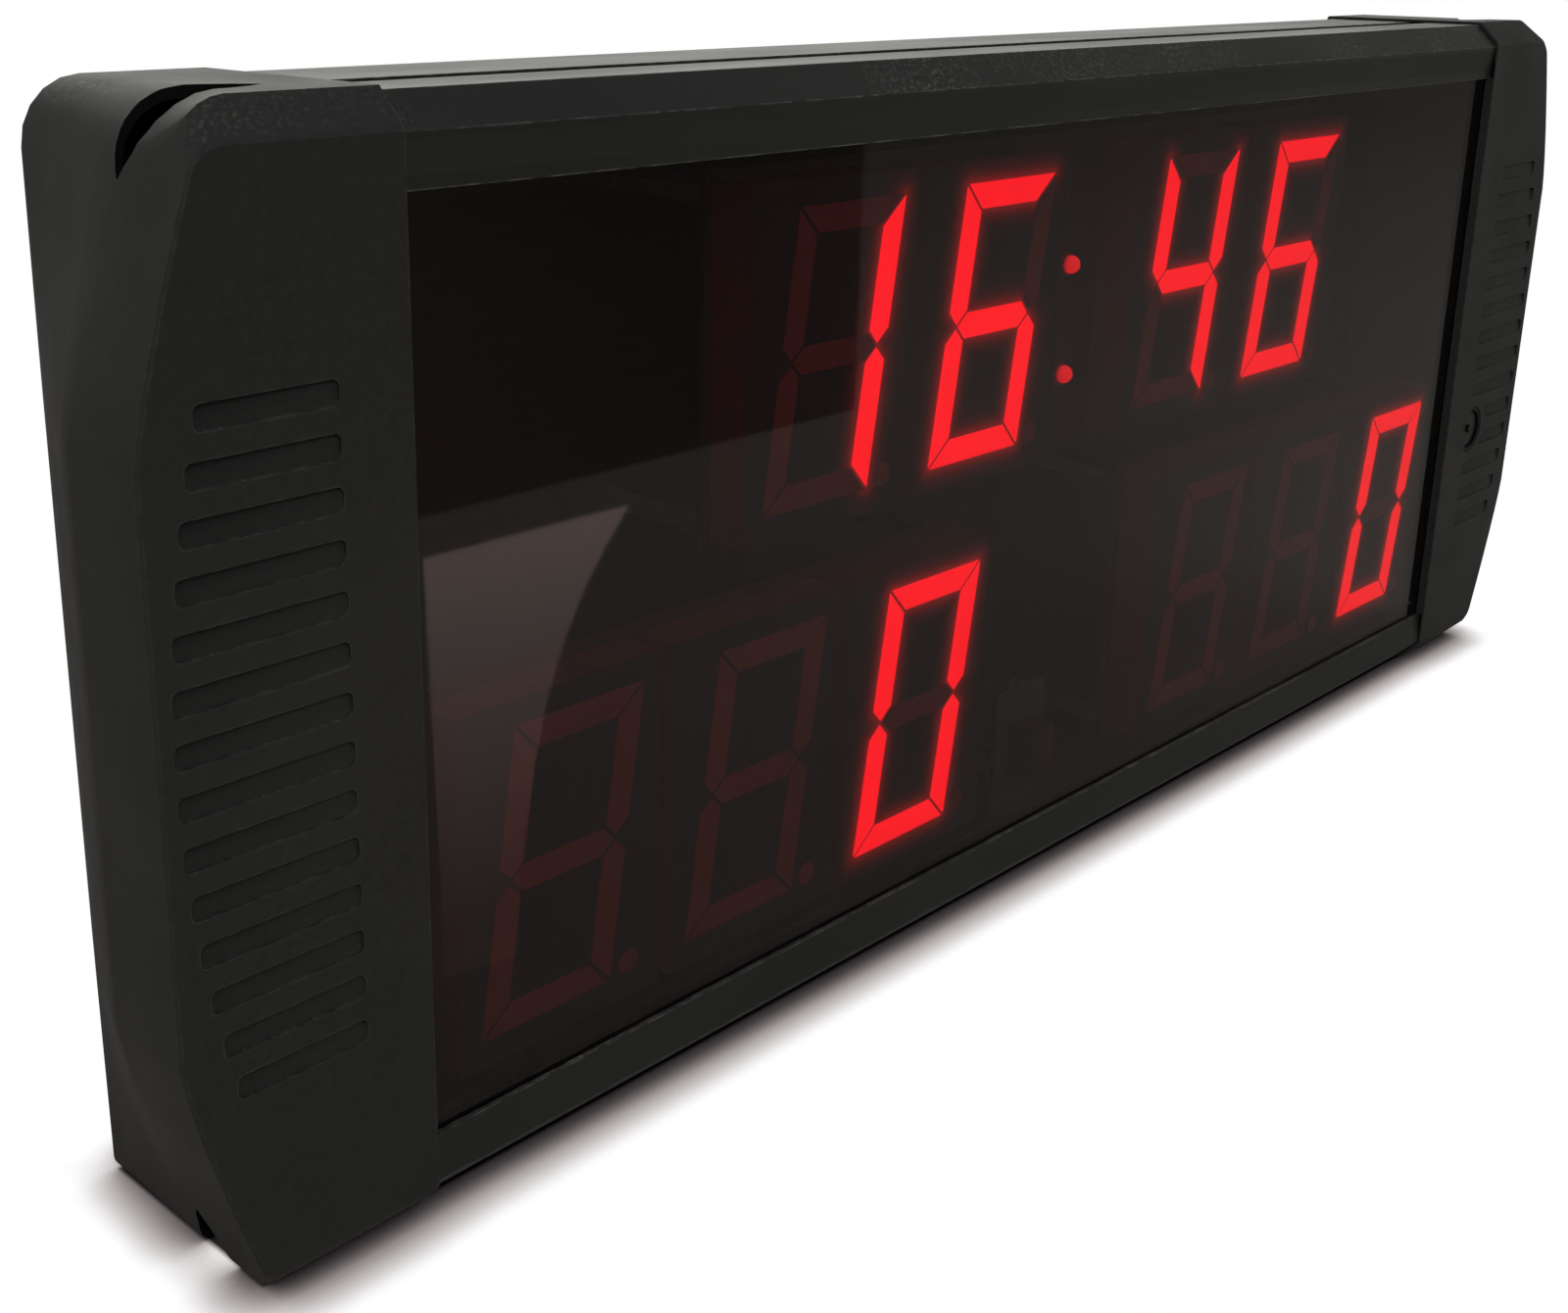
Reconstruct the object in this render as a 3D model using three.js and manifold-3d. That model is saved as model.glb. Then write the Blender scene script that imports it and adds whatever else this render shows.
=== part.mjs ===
// Electronic scoreboard: two aluminium rails and two moulded end caps hold a smoked window,
// ten seven-segment display modules on three boards, and a flat back panel.
// Millimetres. X runs along the board, the side that is read faces -Y, Z is up.
import * as THREE from "three";
import { mergeVertices } from "three/addons/utils/BufferGeometryUtils.js";
import Module from "manifold-3d";

const wasm = await Module();
wasm.setup();

// Overall sizes: the display modules set the height and the length of the opening
const housingDepth = 69.5;
const capReach = 43.5; // width of an end cap at the top and bottom of its front
const capBulge = 19.5; // how much wider it is at mid height

// Clearances
const slideGap = 0.3; // between pieces that slide into or past each other
const seatGap = 0.1; // between faces that are screwed or soldered together
const overrun = 2; // how far a cutting shape runs past the face it cuts
const weldDistance = 1e-4;

// Smoothness of round forms
const fineSides = 40;
const roundSides = 24;
const smallSides = 14;
const hexSides = 6;
const curveSteps = 3;
const crescentSteps = 8;
const domeSteps = 6;

// End caps
const capWall = 2.5;
const bevel = 7.6; // along the front's top and bottom edges, on caps and rails
const capEdge = 0.7;
const taperHeight = 66; // height over which the front outline swells from each end
const taperPower = 1.25;
const taperSteps = 6;
const capRidge = 24; // depth at which the side turns in towards the rear
const rearTurnPower = 1.1;
const rearTurnSteps = 5;
const frontCornerRadius = 5;
const rearCornerRadius = 14;
const cornerBlend = 20; // depth over which the upper corner's radius grows
const footRadius = 3.6; // of the lower corner, on which the board can stand
const cornerSteps = 5;
const sleeveLength = 9.4; // how far a rail enters the cap
const stopWeb = 1.5;
const stopRim = 12;
const returnLip = 2;

// Crescent openings in the cap corners
const crescentAlong = 27; // from the corner along the top
const crescentDown = 16; // from the corner down the side
const crescentRear = 33.5; // depth towards which its rear edge bends
const crescentWidth = 14;
const crescentReach = 7; // how far it cuts in below its chord
const crescentTipShare = 0.78;
const crescentPullShare = 1.31;
const crescentShoulderShare = 0.5;

// Grip pockets on the front of each cap
const pocketCount = 14;
const pocketPitch = 10.8;
const pocketHeight = 5.4;
const pocketDepth = 1.4;
const pocketRadius = 1.6;
const pocketStart = 18; // inner end, measured from the cap's inner edge
const pocketMargin = 3.6; // from the outer end to the cap's side at mid height
const pocketBow = 9; // how much shorter the outermost pockets are

// Rails: one profile, upright below and turned over above
const railSetback = 1; // behind and inside the faces of the caps
const railRearSetback = 3.5;
const railWall = 2.2;
const rimLand = 1.4;
const coveHeight = 7.2;
const coveDepth = 1;
const lipHeight = 3;
const lipWall = 1.2;
const grooveBite = 6.5; // how deep the window sits in the rail
const groovePad = 1.5;
const legWall = 1.8;
const legHeight = 16.5;
const slotCentre = 31; // depth of the lengthwise T-slot
const slotMouth = 8;
const slotWidth = 14;
const slotDepth = 6;
const slotWall = 1.8;
const finWall = 1.2;
const finHeight = 11;

// Window and back panel
const windowThickness = 2.5;
const panelThickness = 2;
const panelSetback = 9; // from the housing's rear to the panel's outer face
const panelEdge = 4; // from the rail's outer face to the panel's edge
const soundHoles = 6;
const soundHoleRadius = 1.4;
const soundRing = 6;

// Display modules
const digitHeight = 77.4;
const digitRise = 0.6; // of the digit's centre over the module's
const digitWidth = 42;
const slantShare = 0.155;
const uprightBar = 8.4;
const levelBar = 8;
const segmentGap = 1;
const segmentRelief = 0.4;
const pointRadius = 3.2;
const pointOffset = 6;
const moduleSide = 11; // from the digit's side to the module's side
const moduleEnd = 6.3; // from the digit's top or bottom to the module's end
const moduleThickness = 12;
const moduleSpace = 3.6;
const colonSpace = 38; // between the two middle modules of the time row
const rowSpace = 18; // between the two rows of modules
const sideSpace = 12; // from the end cap to the outermost module
const edgeSpace = 7.8; // from the rail's lip to the nearest module
const teamDigits = 3;
const teamSpace = 89.6; // between the modules of the two teams

// Colon lamps of the time row
const lampRadius = 2.7;
const lampLength = 4;
const lampBase = 4;
const lampBaseHeight = 8;
const lampOffset = 9.5; // left of the board's centre
const lampRise = 11; // above the row's centre
const lampDrop = 21.5;

// Circuit boards and what carries them
const boardThickness = 1.6;
const boardMargin = 3;
const standoffFlats = 5.5;
const standoffInset = 6;
const receiverWidth = 12;
const receiverHeight = 18;
const receiverThickness = 9;
const receiverRise = 37;
const receiverOffset = 6; // left of the board's centre
const receiverBoardWidth = 26;
const receiverBoardHeight = 40;
const controlSize = 70;
const controlRise = 38; // above the housing's middle
const controlSpacer = 8;
const buzzerRadius = 11;
const buzzerHeight = 6.5;

// Power inlet in the back panel
const inletInset = 51; // from the end cap's inner edge
const inletRise = 46;
const inletBarrel = 5.5;
const inletLength = 12;
const inletFlange = 7.5;
const inletFlangeHeight = 2;
const inletBore = 3.2;
const inletBoreDepth = 10;
const inletPin = 1;
const inletPinSetback = 1;
const nutFlats = 14;
const nutHeight = 2.5;

// Rocker switch in the back panel
const switchSpace = 37; // from the inlet's axis to the switch's
const switchWidth = 13;
const switchHeight = 19;
const switchDepth = 12;
const switchWall = 1.6;
const switchFrame = 2;
const switchFrameHeight = 1.8;
const rockerHalf = 6.4;
const rockerCrown = 4.2; // from the pivot to the crest of the rocker
const rockerFoot = 3.2;
const rockerPivot = 1.2;
const pivotDepth = 2.9; // from the frame's face to the pivot
const pivotPin = 1;
const rockerSwing = 10; // degrees from level to either end

// Push button in the right cap
const buttonRowsDown = 3; // grip pockets below the middle of the cap
const buttonInset = 22.4;
const buttonRadius = 9;
const buttonSetback = 0.3;
const buttonRing = 1.2;
const buttonDish = 1;
const buttonDot = 1.6;
const buttonFlange = 1.8;
const buttonFlangeHeight = 1.2;
const buttonStem = 3;
const buttonLength = 7.4;
const buttonTravel = 1.5;
const buttonPad = 12.6;
const keyBody = 12;
const keyBodyHeight = 3.6;
const keyPlunger = 2;
const keyPlungerHeight = 0.7;
const keyBoardWidth = 24;
const keyBoardHeight = 36;
const keyBossRadius = 2.5;

// Keyhole hangers on the top rail
const hangerInset = 86; // from the end cap's inner edge
const hangerWidth = 40;
const hangerHeight = 38;
const hangerThickness = 1.5;
const hangerDrop = 3; // from the rail's outer face to the hanger's top edge
const hangerCorner = 3;
const keyholeHead = 4.5;
const keyholeNeck = 2.5;
const keyholeRise = 9; // from the hanger's lower edge to the middle of the wide hole
const keyholeTravel = 10;

// Screws that hold the caps to the rails
const screwRadius = 1.5;
const screwLength = 5.2;
const screwHead = 2.8;
const screwHeadHeight = 2;
const screwSetback = 0.1; // below the cap's rear face
const screwBoss = 4.6;
const screwBossHeight = 1.2;
const screwRise = 10; // from the housing's top or bottom

// Places that follow from the sizes above
const moduleWidth = digitWidth + moduleSide * 2;
const moduleHeight = digitHeight + moduleEnd * 2;
const modulePitch = moduleWidth + moduleSpace;
const rowOffset = (moduleHeight + rowSpace) / 2;
const teamWidth = teamDigits * modulePitch - moduleSpace;
const capEdgeX = sideSpace + teamWidth + teamSpace / 2;
const railRear = housingDepth - railRearSetback;
const lipFront = railSetback + coveDepth;
const lipStart = bevel + rimLand + coveHeight;
const lipEnd = lipStart + lipHeight;
const grooveBottom = lipEnd - grooveBite;
const windowFront = lipFront + lipWall + slideGap;
const windowBack = windowFront + windowThickness;
const moduleFront = windowBack + slideGap;
const boardFront = moduleFront + segmentRelief + moduleThickness + seatGap;
const boardBack = boardFront + boardThickness;
const panelBack = housingDepth - panelSetback;
const panelDepth = panelBack - panelThickness;
const middle = railSetback + lipEnd + edgeSpace + moduleHeight + rowSpace / 2;
const housingHeight = middle * 2;
const inletOffset = capEdgeX - inletInset;
const switchOffset = inletOffset - switchSpace;
const hangerOffset = capEdgeX - hangerInset;
const pocketSpan = (pocketCount - 1) * pocketPitch;
const buttonX = capEdgeX + buttonInset;
const buttonZ = middle - buttonRowsDown * pocketPitch;

const finish = (color, roughness, metalness) =>
  new THREE.MeshStandardMaterial({ color, roughness, metalness });
const extrusion = finish(0x3a3c39, 0.42, 0.6);
const moulding = finish(0x2c2d2b, 0.62, 0);
const smoked = finish(0x17110f, 0.06, 0);
const display = finish(0x2b1313, 0.45, 0);
const lens = finish(0xd8202a, 0.3, 0);
const laminate = finish(0x14361f, 0.5, 0);
const plated = finish(0x9a9a96, 0.35, 0.9);
const blackPlastic = finish(0x141414, 0.5, 0);

const board = new THREE.Group();
board.name = "electronic_scoreboard";
const assembly = new THREE.Group();
assembly.position.y = -housingDepth / 2;
board.add(assembly);

// Shapes and solids

// A closed geometry as a solid that can be cut and joined.
function solid(geometry) {
  const bare = geometry.clone();
  bare.deleteAttribute("normal");
  bare.deleteAttribute("uv");
  const merged = mergeVertices(bare, weldDistance);
  const mesh = new wasm.Mesh({
    numProp: 3,
    vertProperties: new Float32Array(merged.attributes.position.array),
    triVerts: new Uint32Array(merged.index.array),
  });
  return new wasm.Manifold(mesh);
}

function geometryOf(made) {
  const mesh = made.getMesh();
  const geometry = new THREE.BufferGeometry();
  geometry.setAttribute("position", new THREE.BufferAttribute(mesh.vertProperties, 3));
  geometry.setIndex(new THREE.BufferAttribute(mesh.triVerts, 1));
  return geometry;
}

// Joins the first geometries and then cuts the others out of them.
function combine(joined, cut = []) {
  let made = solid(joined[0]);
  for (const geometry of joined.slice(1)) made = made.add(solid(geometry));
  for (const geometry of cut) made = made.subtract(solid(geometry));
  return geometryOf(made);
}

function overlap(first, second) {
  return geometryOf(solid(first).intersect(solid(second)));
}

function block(x0, x1, y0, y1, z0, z1) {
  const geometry = new THREE.BoxGeometry(x1 - x0, y1 - y0, z1 - z0);
  return geometry.translate((x0 + x1) / 2, (y0 + y1) / 2, (z0 + z1) / 2);
}

function shapeOf(points) {
  return new THREE.Shape(points.map(([a, b]) => new THREE.Vector2(a, b)));
}

// A profile of (depth, height) points drawn out along X.
function alongX(shape, x0, x1) {
  const geometry = new THREE.ExtrudeGeometry(shape, { depth: x1 - x0, bevelEnabled: false });
  const across = new THREE.Vector3(0, 1, 0);
  const up = new THREE.Vector3(0, 0, 1);
  const along = new THREE.Vector3(1, 0, 0);
  const turn = new THREE.Matrix4().makeBasis(across, up, along);
  return geometry.applyMatrix4(turn).translate(x0, 0, 0);
}

// An outline of (x, z) points drawn out along Y.
function alongY(shape, y0, y1) {
  const options = { depth: y1 - y0, bevelEnabled: false, curveSegments: curveSteps };
  const geometry = new THREE.ExtrudeGeometry(shape, options);
  return geometry.rotateX(Math.PI / 2).translate(0, y1, 0);
}

// A profile of (radius, depth) points revolved about a line along Y.
function turned(profile, x, z, sides) {
  const points = profile.map(([radius, y]) => new THREE.Vector2(radius, y));
  return new THREE.LatheGeometry(points, sides).translate(x, 0, z);
}

function rod(radius, y0, y1, x, z, sides) {
  const profile = [
    [0, y0],
    [radius, y0],
    [radius, y1],
    [0, y1],
  ];
  return turned(profile, x, z, sides);
}

function hexRod(flats, y0, y1, x, z) {
  const corner = flats / Math.sqrt(3);
  return rod(corner, y0, y1, x, z, hexSides);
}

function roundedOutline(x0, x1, z0, z1, radius) {
  const shape = new THREE.Shape();
  shape.moveTo(x0 + radius, z0);
  shape.lineTo(x1 - radius, z0);
  shape.absarc(x1 - radius, z0 + radius, radius, -Math.PI / 2, 0);
  shape.lineTo(x1, z1 - radius);
  shape.absarc(x1 - radius, z1 - radius, radius, 0, Math.PI / 2);
  shape.lineTo(x0 + radius, z1);
  shape.absarc(x0 + radius, z1 - radius, radius, Math.PI / 2, Math.PI);
  shape.lineTo(x0, z0 + radius);
  shape.absarc(x0 + radius, z0 + radius, radius, Math.PI, (Math.PI * 3) / 2);
  return shape;
}

// A skin through rings of equal count, closed at its first and last ring.
function loft(rings) {
  const count = rings[0].length;
  const index = [];
  for (let r = 0; r + 1 < rings.length; r++) {
    for (let i = 0; i < count; i++) {
      const a = r * count + i;
      const b = r * count + ((i + 1) % count);
      index.push(a, b + count, b, a, a + count, b + count);
    }
  }
  const flat = (ring) => ring.map((p) => new THREE.Vector2(p.x, p.z));
  const last = (rings.length - 1) * count;
  for (const [a, b, c] of THREE.ShapeUtils.triangulateShape(flat(rings[0]), [])) {
    index.push(a, b, c);
  }
  for (const [a, b, c] of THREE.ShapeUtils.triangulateShape(flat(rings.at(-1)), [])) {
    index.push(last + a, last + c, last + b);
  }
  const positions = rings.flat().flatMap((p) => [p.x, p.y, p.z]);
  const geometry = new THREE.BufferGeometry();
  geometry.setAttribute("position", new THREE.Float32BufferAttribute(positions, 3));
  geometry.setIndex(index);
  return geometry;
}

function place(name, geometry, material) {
  const mesh = new THREE.Mesh(geometry, material);
  mesh.name = name;
  assembly.add(mesh);
  return mesh;
}

// Rails

// The profile's walls, each as (depth, distance in from the rail's outer face).
function railWalls() {
  const noseBack = Math.max(windowBack + slideGap, railSetback + bevel) + finWall;
  const nose = [
    [railSetback + bevel, 0],
    [noseBack, 0],
    [noseBack, lipEnd],
    [lipFront, lipEnd],
    [lipFront, lipStart],
    [railSetback, bevel + rimLand],
    [railSetback, bevel],
  ];
  const slotHalf = slotWidth / 2 + slotWall;
  const slotHeight = railWall + slotDepth + slotWall;
  const panelFront = panelDepth - slideGap;
  const panelRear = panelBack + slideGap;
  return [
    nose,
    strip(railSetback + bevel, railRear, 0, railWall),
    strip(slotCentre - slotHalf, slotCentre + slotHalf, 0, slotHeight),
    strip(panelFront - finWall, panelFront, 0, finHeight),
    strip(panelRear, panelRear + finWall, 0, finHeight),
    strip(railRear - legWall, railRear, 0, legHeight),
  ];
}

// The window groove, the hollow inside the bevelled corner, and the T-slot.
function railHollows() {
  const slope = railSetback + bevel + railWall * Math.SQRT2;
  const front = railSetback + railWall;
  const base = grooveBottom - groovePad;
  const cell = [
    [front, slope - front],
    [windowBack, slope - windowBack],
    [windowBack, base],
    [front, base],
  ];
  const slotHalf = slotWidth / 2;
  const mouthHalf = slotMouth / 2;
  return [
    cell,
    strip(lipFront + lipWall, windowBack + slideGap, grooveBottom, lipEnd + overrun),
    strip(slotCentre - slotHalf, slotCentre + slotHalf, railWall, railWall + slotDepth),
    strip(slotCentre - mouthHalf, slotCentre + mouthHalf, -overrun, railWall + overrun),
  ];
}

function strip(y0, y1, in0, in1) {
  return [
    [y0, in0],
    [y1, in0],
    [y1, in1],
    [y0, in1],
  ];
}

function makeRail(upper) {
  const toZ = (inward) => (upper ? housingHeight - railSetback - inward : railSetback + inward);
  const draw = (points, half) => {
    const shape = shapeOf(points.map(([y, inward]) => [y, toZ(inward)]));
    return alongX(shape, -half, half);
  };
  const half = capEdgeX + sleeveLength;
  const walls = railWalls().map((points) => draw(points, half));
  const hollows = railHollows().map((points) => draw(points, half + overrun));
  const z = upper ? housingHeight - screwRise : screwRise;
  const y0 = railRear - legWall - overrun;
  const holes = [-1, 1].map((side) =>
    rod(screwRadius + slideGap, y0, railRear + overrun, side * screwX(), z, smallSides),
  );
  return combine(walls, [...hollows, ...holes]);
}

function screwX() {
  return capEdgeX + sleeveLength / 2;
}

// End caps

// How far the front outline has swelled at a height above the cap's end.
function swell(height) {
  const share = Math.min(1, Math.max(0, height) / taperHeight);
  return capBulge * (1 - Math.pow(1 - share, taperPower));
}

// A round corner and the swelling outline after it, from a cap's end up to its full width.
function capEnd(end, radius, side) {
  const points = [];
  for (let i = 0; i <= cornerSteps; i++) {
    const angle = ((i / cornerSteps) * Math.PI) / 2;
    const z = end + radius * (1 - Math.cos(angle));
    points.push([side(z) - radius * (1 - Math.sin(angle)), z]);
  }
  const start = end + radius;
  for (let i = 1; i <= taperSteps; i++) {
    const share = 1 - Math.pow(1 - i / taperSteps, taperPower);
    const z = start + (taperHeight - start) * share;
    points.push([side(z), z]);
  }
  return points;
}

// One cross-section of a cap at a depth, drawn in from the outside by a wall or an edge.
function capRing(depth, wall, edge, inner) {
  const end = Math.max(wall, bevel + wall * Math.SQRT2 - depth) + edge;
  const blend = Math.min(1, depth / cornerBlend);
  const headRadius = frontCornerRadius + (rearCornerRadius - frontCornerRadius) * blend;
  const turn = Math.max(0, depth - capRidge) / (housingDepth - capRidge);
  const inTurn = Math.pow(turn, rearTurnPower);
  const side = (z) => capReach - wall - edge + swell(z) * (1 - inTurn);
  const lower = capEnd(end, footRadius - wall, side);
  const upper = capEnd(end, headRadius - wall, side)
    .map(([u, z]) => [u, housingHeight - z])
    .reverse();
  const outline = [[inner, end], ...lower, ...upper, [inner, housingHeight - end]];
  return outline.map(([u, z]) => new THREE.Vector3(capEdgeX + u, depth, z));
}

function turnDepths(last) {
  const depths = [capRidge];
  for (let i = 1; i <= rearTurnSteps; i++) {
    depths.push(capRidge + ((last - capRidge) * i) / rearTurnSteps);
  }
  return depths;
}

function capBody() {
  const depths = [capEdge, bevel, (bevel + capRidge) / 2, ...turnDepths(housingDepth - capEdge)];
  const rings = depths.map((depth) => capRing(depth, 0, 0, 0));
  return loft([capRing(0, 0, capEdge, 0), ...rings, capRing(housingDepth, 0, capEdge, 0)]);
}

function capCavity() {
  const sill = bevel + capWall * (Math.SQRT2 - 1);
  const depths = [capWall, sill, (sill + capRidge) / 2, ...turnDepths(housingDepth - capWall)];
  return loft(depths.map((depth) => capRing(depth, capWall, 0, -overrun)));
}

// The space that a rail takes inside the cap.
function sleeveCut(upper) {
  const outer = railSetback - slideGap;
  const slope = railSetback * 2 + bevel - slideGap * Math.SQRT2;
  const inward = railSetback + lipEnd + slideGap;
  const points = [
    [outer, inward],
    [outer, slope - outer],
    [slope - outer, outer],
    [railRear + slideGap, outer],
    [railRear + slideGap, inward],
  ].map(([y, z]) => [y, upper ? housingHeight - z : z]);
  return alongX(shapeOf(points), capEdgeX - overrun, capEdgeX + sleeveLength + slideGap);
}

// The web that stops the rails, the window and the panel, open in the middle for wires.
function stopFrame() {
  const x0 = capEdgeX + sleeveLength + slideGap;
  const x1 = x0 + stopWeb;
  const plate = block(x0, x1, 0, housingDepth, 0, housingHeight);
  const low = stopRim + bevel;
  const rear = housingDepth - stopRim;
  const opening = block(
    x0 - overrun, x1 + overrun, stopRim, rear, low, housingHeight - low);
  return combine([overlap(plate, capBody())], [opening]);
}

// The lip behind the cap's front that closes the gap to the window.
function capLip() {
  const z = railSetback + lipEnd + slideGap;
  const y1 = windowFront - slideGap;
  const x1 = capEdgeX + returnLip;
  return block(capEdgeX, x1, capWall / 2, y1, z, housingHeight - z);
}

// A crescent opening across a corner, cut square to the line between its two tips.
function crescentCut(upper) {
  const alongTip = new THREE.Vector3(capEdgeX + capReach - crescentAlong, 0, 0);
  const sideX = capEdgeX + capReach + swell(crescentDown);
  const sideTip = new THREE.Vector3(sideX, 0, crescentDown);
  if (upper) {
    alongTip.z = housingHeight;
    sideTip.z = housingHeight - crescentDown;
  }
  const chord = sideTip.clone().sub(alongTip);
  const half = chord.length() / 2;
  const centre = alongTip.clone().add(sideTip).divideScalar(2);
  const tangent = chord.normalize().multiplyScalar(upper ? -1 : 1);
  const inward = tangent.clone().cross(new THREE.Vector3(0, 1, 0));
  const tip = crescentRear - crescentWidth * crescentTipShare;
  const front = crescentRear - crescentWidth * crescentPullShare;
  const shoulder = half * crescentShoulderShare;
  const shape = new THREE.Shape();
  shape.moveTo(-half, tip);
  shape.bezierCurveTo(-shoulder, front, shoulder, front, half, tip);
  shape.bezierCurveTo(shoulder, crescentRear, -shoulder, crescentRear, -half, tip);
  const depth = half + crescentReach;
  const options = { depth, bevelEnabled: false, curveSegments: crescentSteps };
  const geometry = new THREE.ExtrudeGeometry(shape, options).translate(0, 0, -half);
  const turn = new THREE.Matrix4().makeBasis(tangent, new THREE.Vector3(0, 1, 0), inward);
  return geometry.applyMatrix4(turn).translate(centre.x, 0, centre.z);
}

// The row of shallow grip pockets, one behind the other up the front.
function pocketCuts() {
  const cuts = [];
  for (let i = 0; i < pocketCount; i++) {
    const rise = i * pocketPitch - pocketSpan / 2;
    const bow = pocketBow * Math.pow((rise * 2) / pocketSpan, 2);
    const x0 = capEdgeX + pocketStart;
    const x1 = capEdgeX + capReach + capBulge - pocketMargin - bow;
    const z0 = middle + rise - pocketHeight / 2;
    const outline = roundedOutline(x0, x1, z0, z0 + pocketHeight, pocketRadius);
    cuts.push(alongY(outline, -overrun, pocketDepth));
  }
  return cuts;
}

// The depth of the underside of a cap screw's head.
function screwSeat() {
  return housingDepth - screwSetback - screwHeadHeight;
}

function screwHoles() {
  const seat = screwSeat() - seatGap;
  return [screwRise, housingHeight - screwRise].flatMap((z) => [
    rod(screwHead + slideGap, seat, housingDepth + overrun, screwX(), z, roundSides),
    rod(screwRadius + slideGap, railRear, housingDepth, screwX(), z, smallSides),
  ]);
}

function screwBosses() {
  const y0 = railRear + slideGap;
  return [screwRise, housingHeight - screwRise].map((z) =>
    rod(screwBoss, y0, y0 + screwBossHeight, screwX(), z, roundSides),
  );
}

function makeCap(withButton) {
  const outside = capBody();
  const shell = combine([outside], [capCavity(), sleeveCut(false), sleeveCut(true)]);
  const added = [stopFrame(), capLip(), ...screwBosses()];
  const cuts = [crescentCut(false), crescentCut(true), ...screwHoles()];
  let pockets = combine(pocketCuts());
  if (withButton) {
    const padFront = -overrun - slideGap;
    const pad = rod(buttonPad, padFront, capWall, buttonX, buttonZ, fineSides);
    pockets = combine([pockets], [pad]);
    const hole = buttonRadius + slideGap;
    cuts.push(rod(hole, -overrun, capWall + overrun, buttonX, buttonZ, fineSides));
    added.push(...keyBosses());
  }
  return combine([shell, ...added], [pockets, ...cuts]);
}

// Button and its key board

function keyFront() {
  return buttonSetback + buttonLength + buttonTravel + seatGap + keyPlungerHeight;
}

function keyBossPlaces() {
  const offset = keyBoardHeight / 2 - keyBossRadius - slideGap;
  return [buttonZ - offset, buttonZ + offset];
}

function keyBosses() {
  const y1 = keyFront() + keyBodyHeight - seatGap;
  return keyBossPlaces().map((z) =>
    rod(keyBossRadius, capWall / 2, y1, buttonX, z, smallSides),
  );
}

function makeButton() {
  const face = buttonSetback;
  const flangeFront = capWall + seatGap;
  const flangeBack = flangeFront + buttonFlangeHeight;
  const rimInner = buttonRadius - buttonRing;
  const profile = [
    [0, face],
    [buttonDot, face],
    [buttonDot, face + buttonDish],
    [rimInner, face + buttonDish],
    [rimInner, face],
    [buttonRadius, face],
    [buttonRadius, flangeFront],
    [buttonRadius + buttonFlange, flangeFront],
    [buttonRadius + buttonFlange, flangeBack],
    [buttonStem, flangeBack],
    [buttonStem, face + buttonLength],
    [0, face + buttonLength],
  ];
  return turned(profile, buttonX, buttonZ, fineSides);
}

function makeKeyBoard() {
  const front = keyFront();
  const y0 = front + keyBodyHeight;
  const half = keyBody / 2;
  const x0 = buttonX - keyBoardWidth / 2;
  const z0 = buttonZ - keyBoardHeight / 2;
  const sheet = block(
    x0, x0 + keyBoardWidth, y0, y0 + boardThickness, z0, z0 + keyBoardHeight);
  const body = block(
    buttonX - half, buttonX + half, front, y0 + seatGap, buttonZ - half, buttonZ + half);
  const y1 = front + seatGap;
  const plunger = rod(
    keyPlunger, front - keyPlungerHeight, y1, buttonX, buttonZ, smallSides);
  return combine([sheet, body, plunger]);
}

// Window and back panel

function makeWindow() {
  const half = capEdgeX + sleeveLength;
  const z0 = railSetback + grooveBottom + slideGap;
  return block(-half, half, windowFront, windowBack, z0, housingHeight - z0);
}

function makePanel() {
  const half = capEdgeX + sleeveLength;
  const z0 = railSetback + panelEdge;
  const y0 = panelDepth - overrun;
  const y1 = panelBack + overrun;
  const sheet = block(-half, half, panelDepth, panelBack, z0, housingHeight - z0);
  const halfWidth = switchWidth / 2 + slideGap;
  const halfHeight = switchHeight / 2 + slideGap;
  const cuts = [
    rod(inletBarrel + slideGap, y0, y1, inletOffset, inletRise, roundSides),
    block(
      switchOffset - halfWidth, switchOffset + halfWidth, y0, y1,
      inletRise - halfHeight, inletRise + halfHeight),
    rod(soundHoleRadius, y0, y1, 0, middle + controlRise, smallSides),
  ];
  for (let i = 0; i < soundHoles; i++) {
    const angle = (i / soundHoles) * Math.PI * 2;
    const x = soundRing * Math.cos(angle);
    const z = middle + controlRise + soundRing * Math.sin(angle);
    cuts.push(rod(soundHoleRadius, y0, y1, x, z, smallSides));
  }
  return combine([sheet], cuts);
}

// Display modules

// The outlines of the seven segments of an upright digit, about its centre.
function segmentOutlines() {
  const x0 = -digitWidth / 2;
  const x1 = digitWidth / 2;
  const left = [x0, x0 + uprightBar];
  const right = [x1 - uprightBar, x1];
  const top = digitHeight / 2;
  const half = levelBar / 2;
  const level = (y, inner) => [
    [left[0], y],
    [left[1], inner],
    [right[0], inner],
    [right[1], y],
  ];
  const waist = uprightBar / 2;
  const upright = (outer, inner) => [
    [outer, top],
    [inner, top - levelBar],
    [inner, half],
    [(outer + inner) / 2, 0],
    [outer, half],
  ];
  const flip = (points) => points.map(([x, y]) => [x, -y]);
  const middleBar = [
    [left[0] + waist, 0],
    [left[1], half],
    [right[0], half],
    [right[1] - waist, 0],
    [right[0], -half],
    [left[1], -half],
  ];
  const uprights = [upright(left[0], left[1]), upright(right[1], right[0])];
  const topBar = level(top, top - levelBar);
  return [topBar, flip(topBar), middleBar, ...uprights, ...uprights.map(flip)];
}

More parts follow.
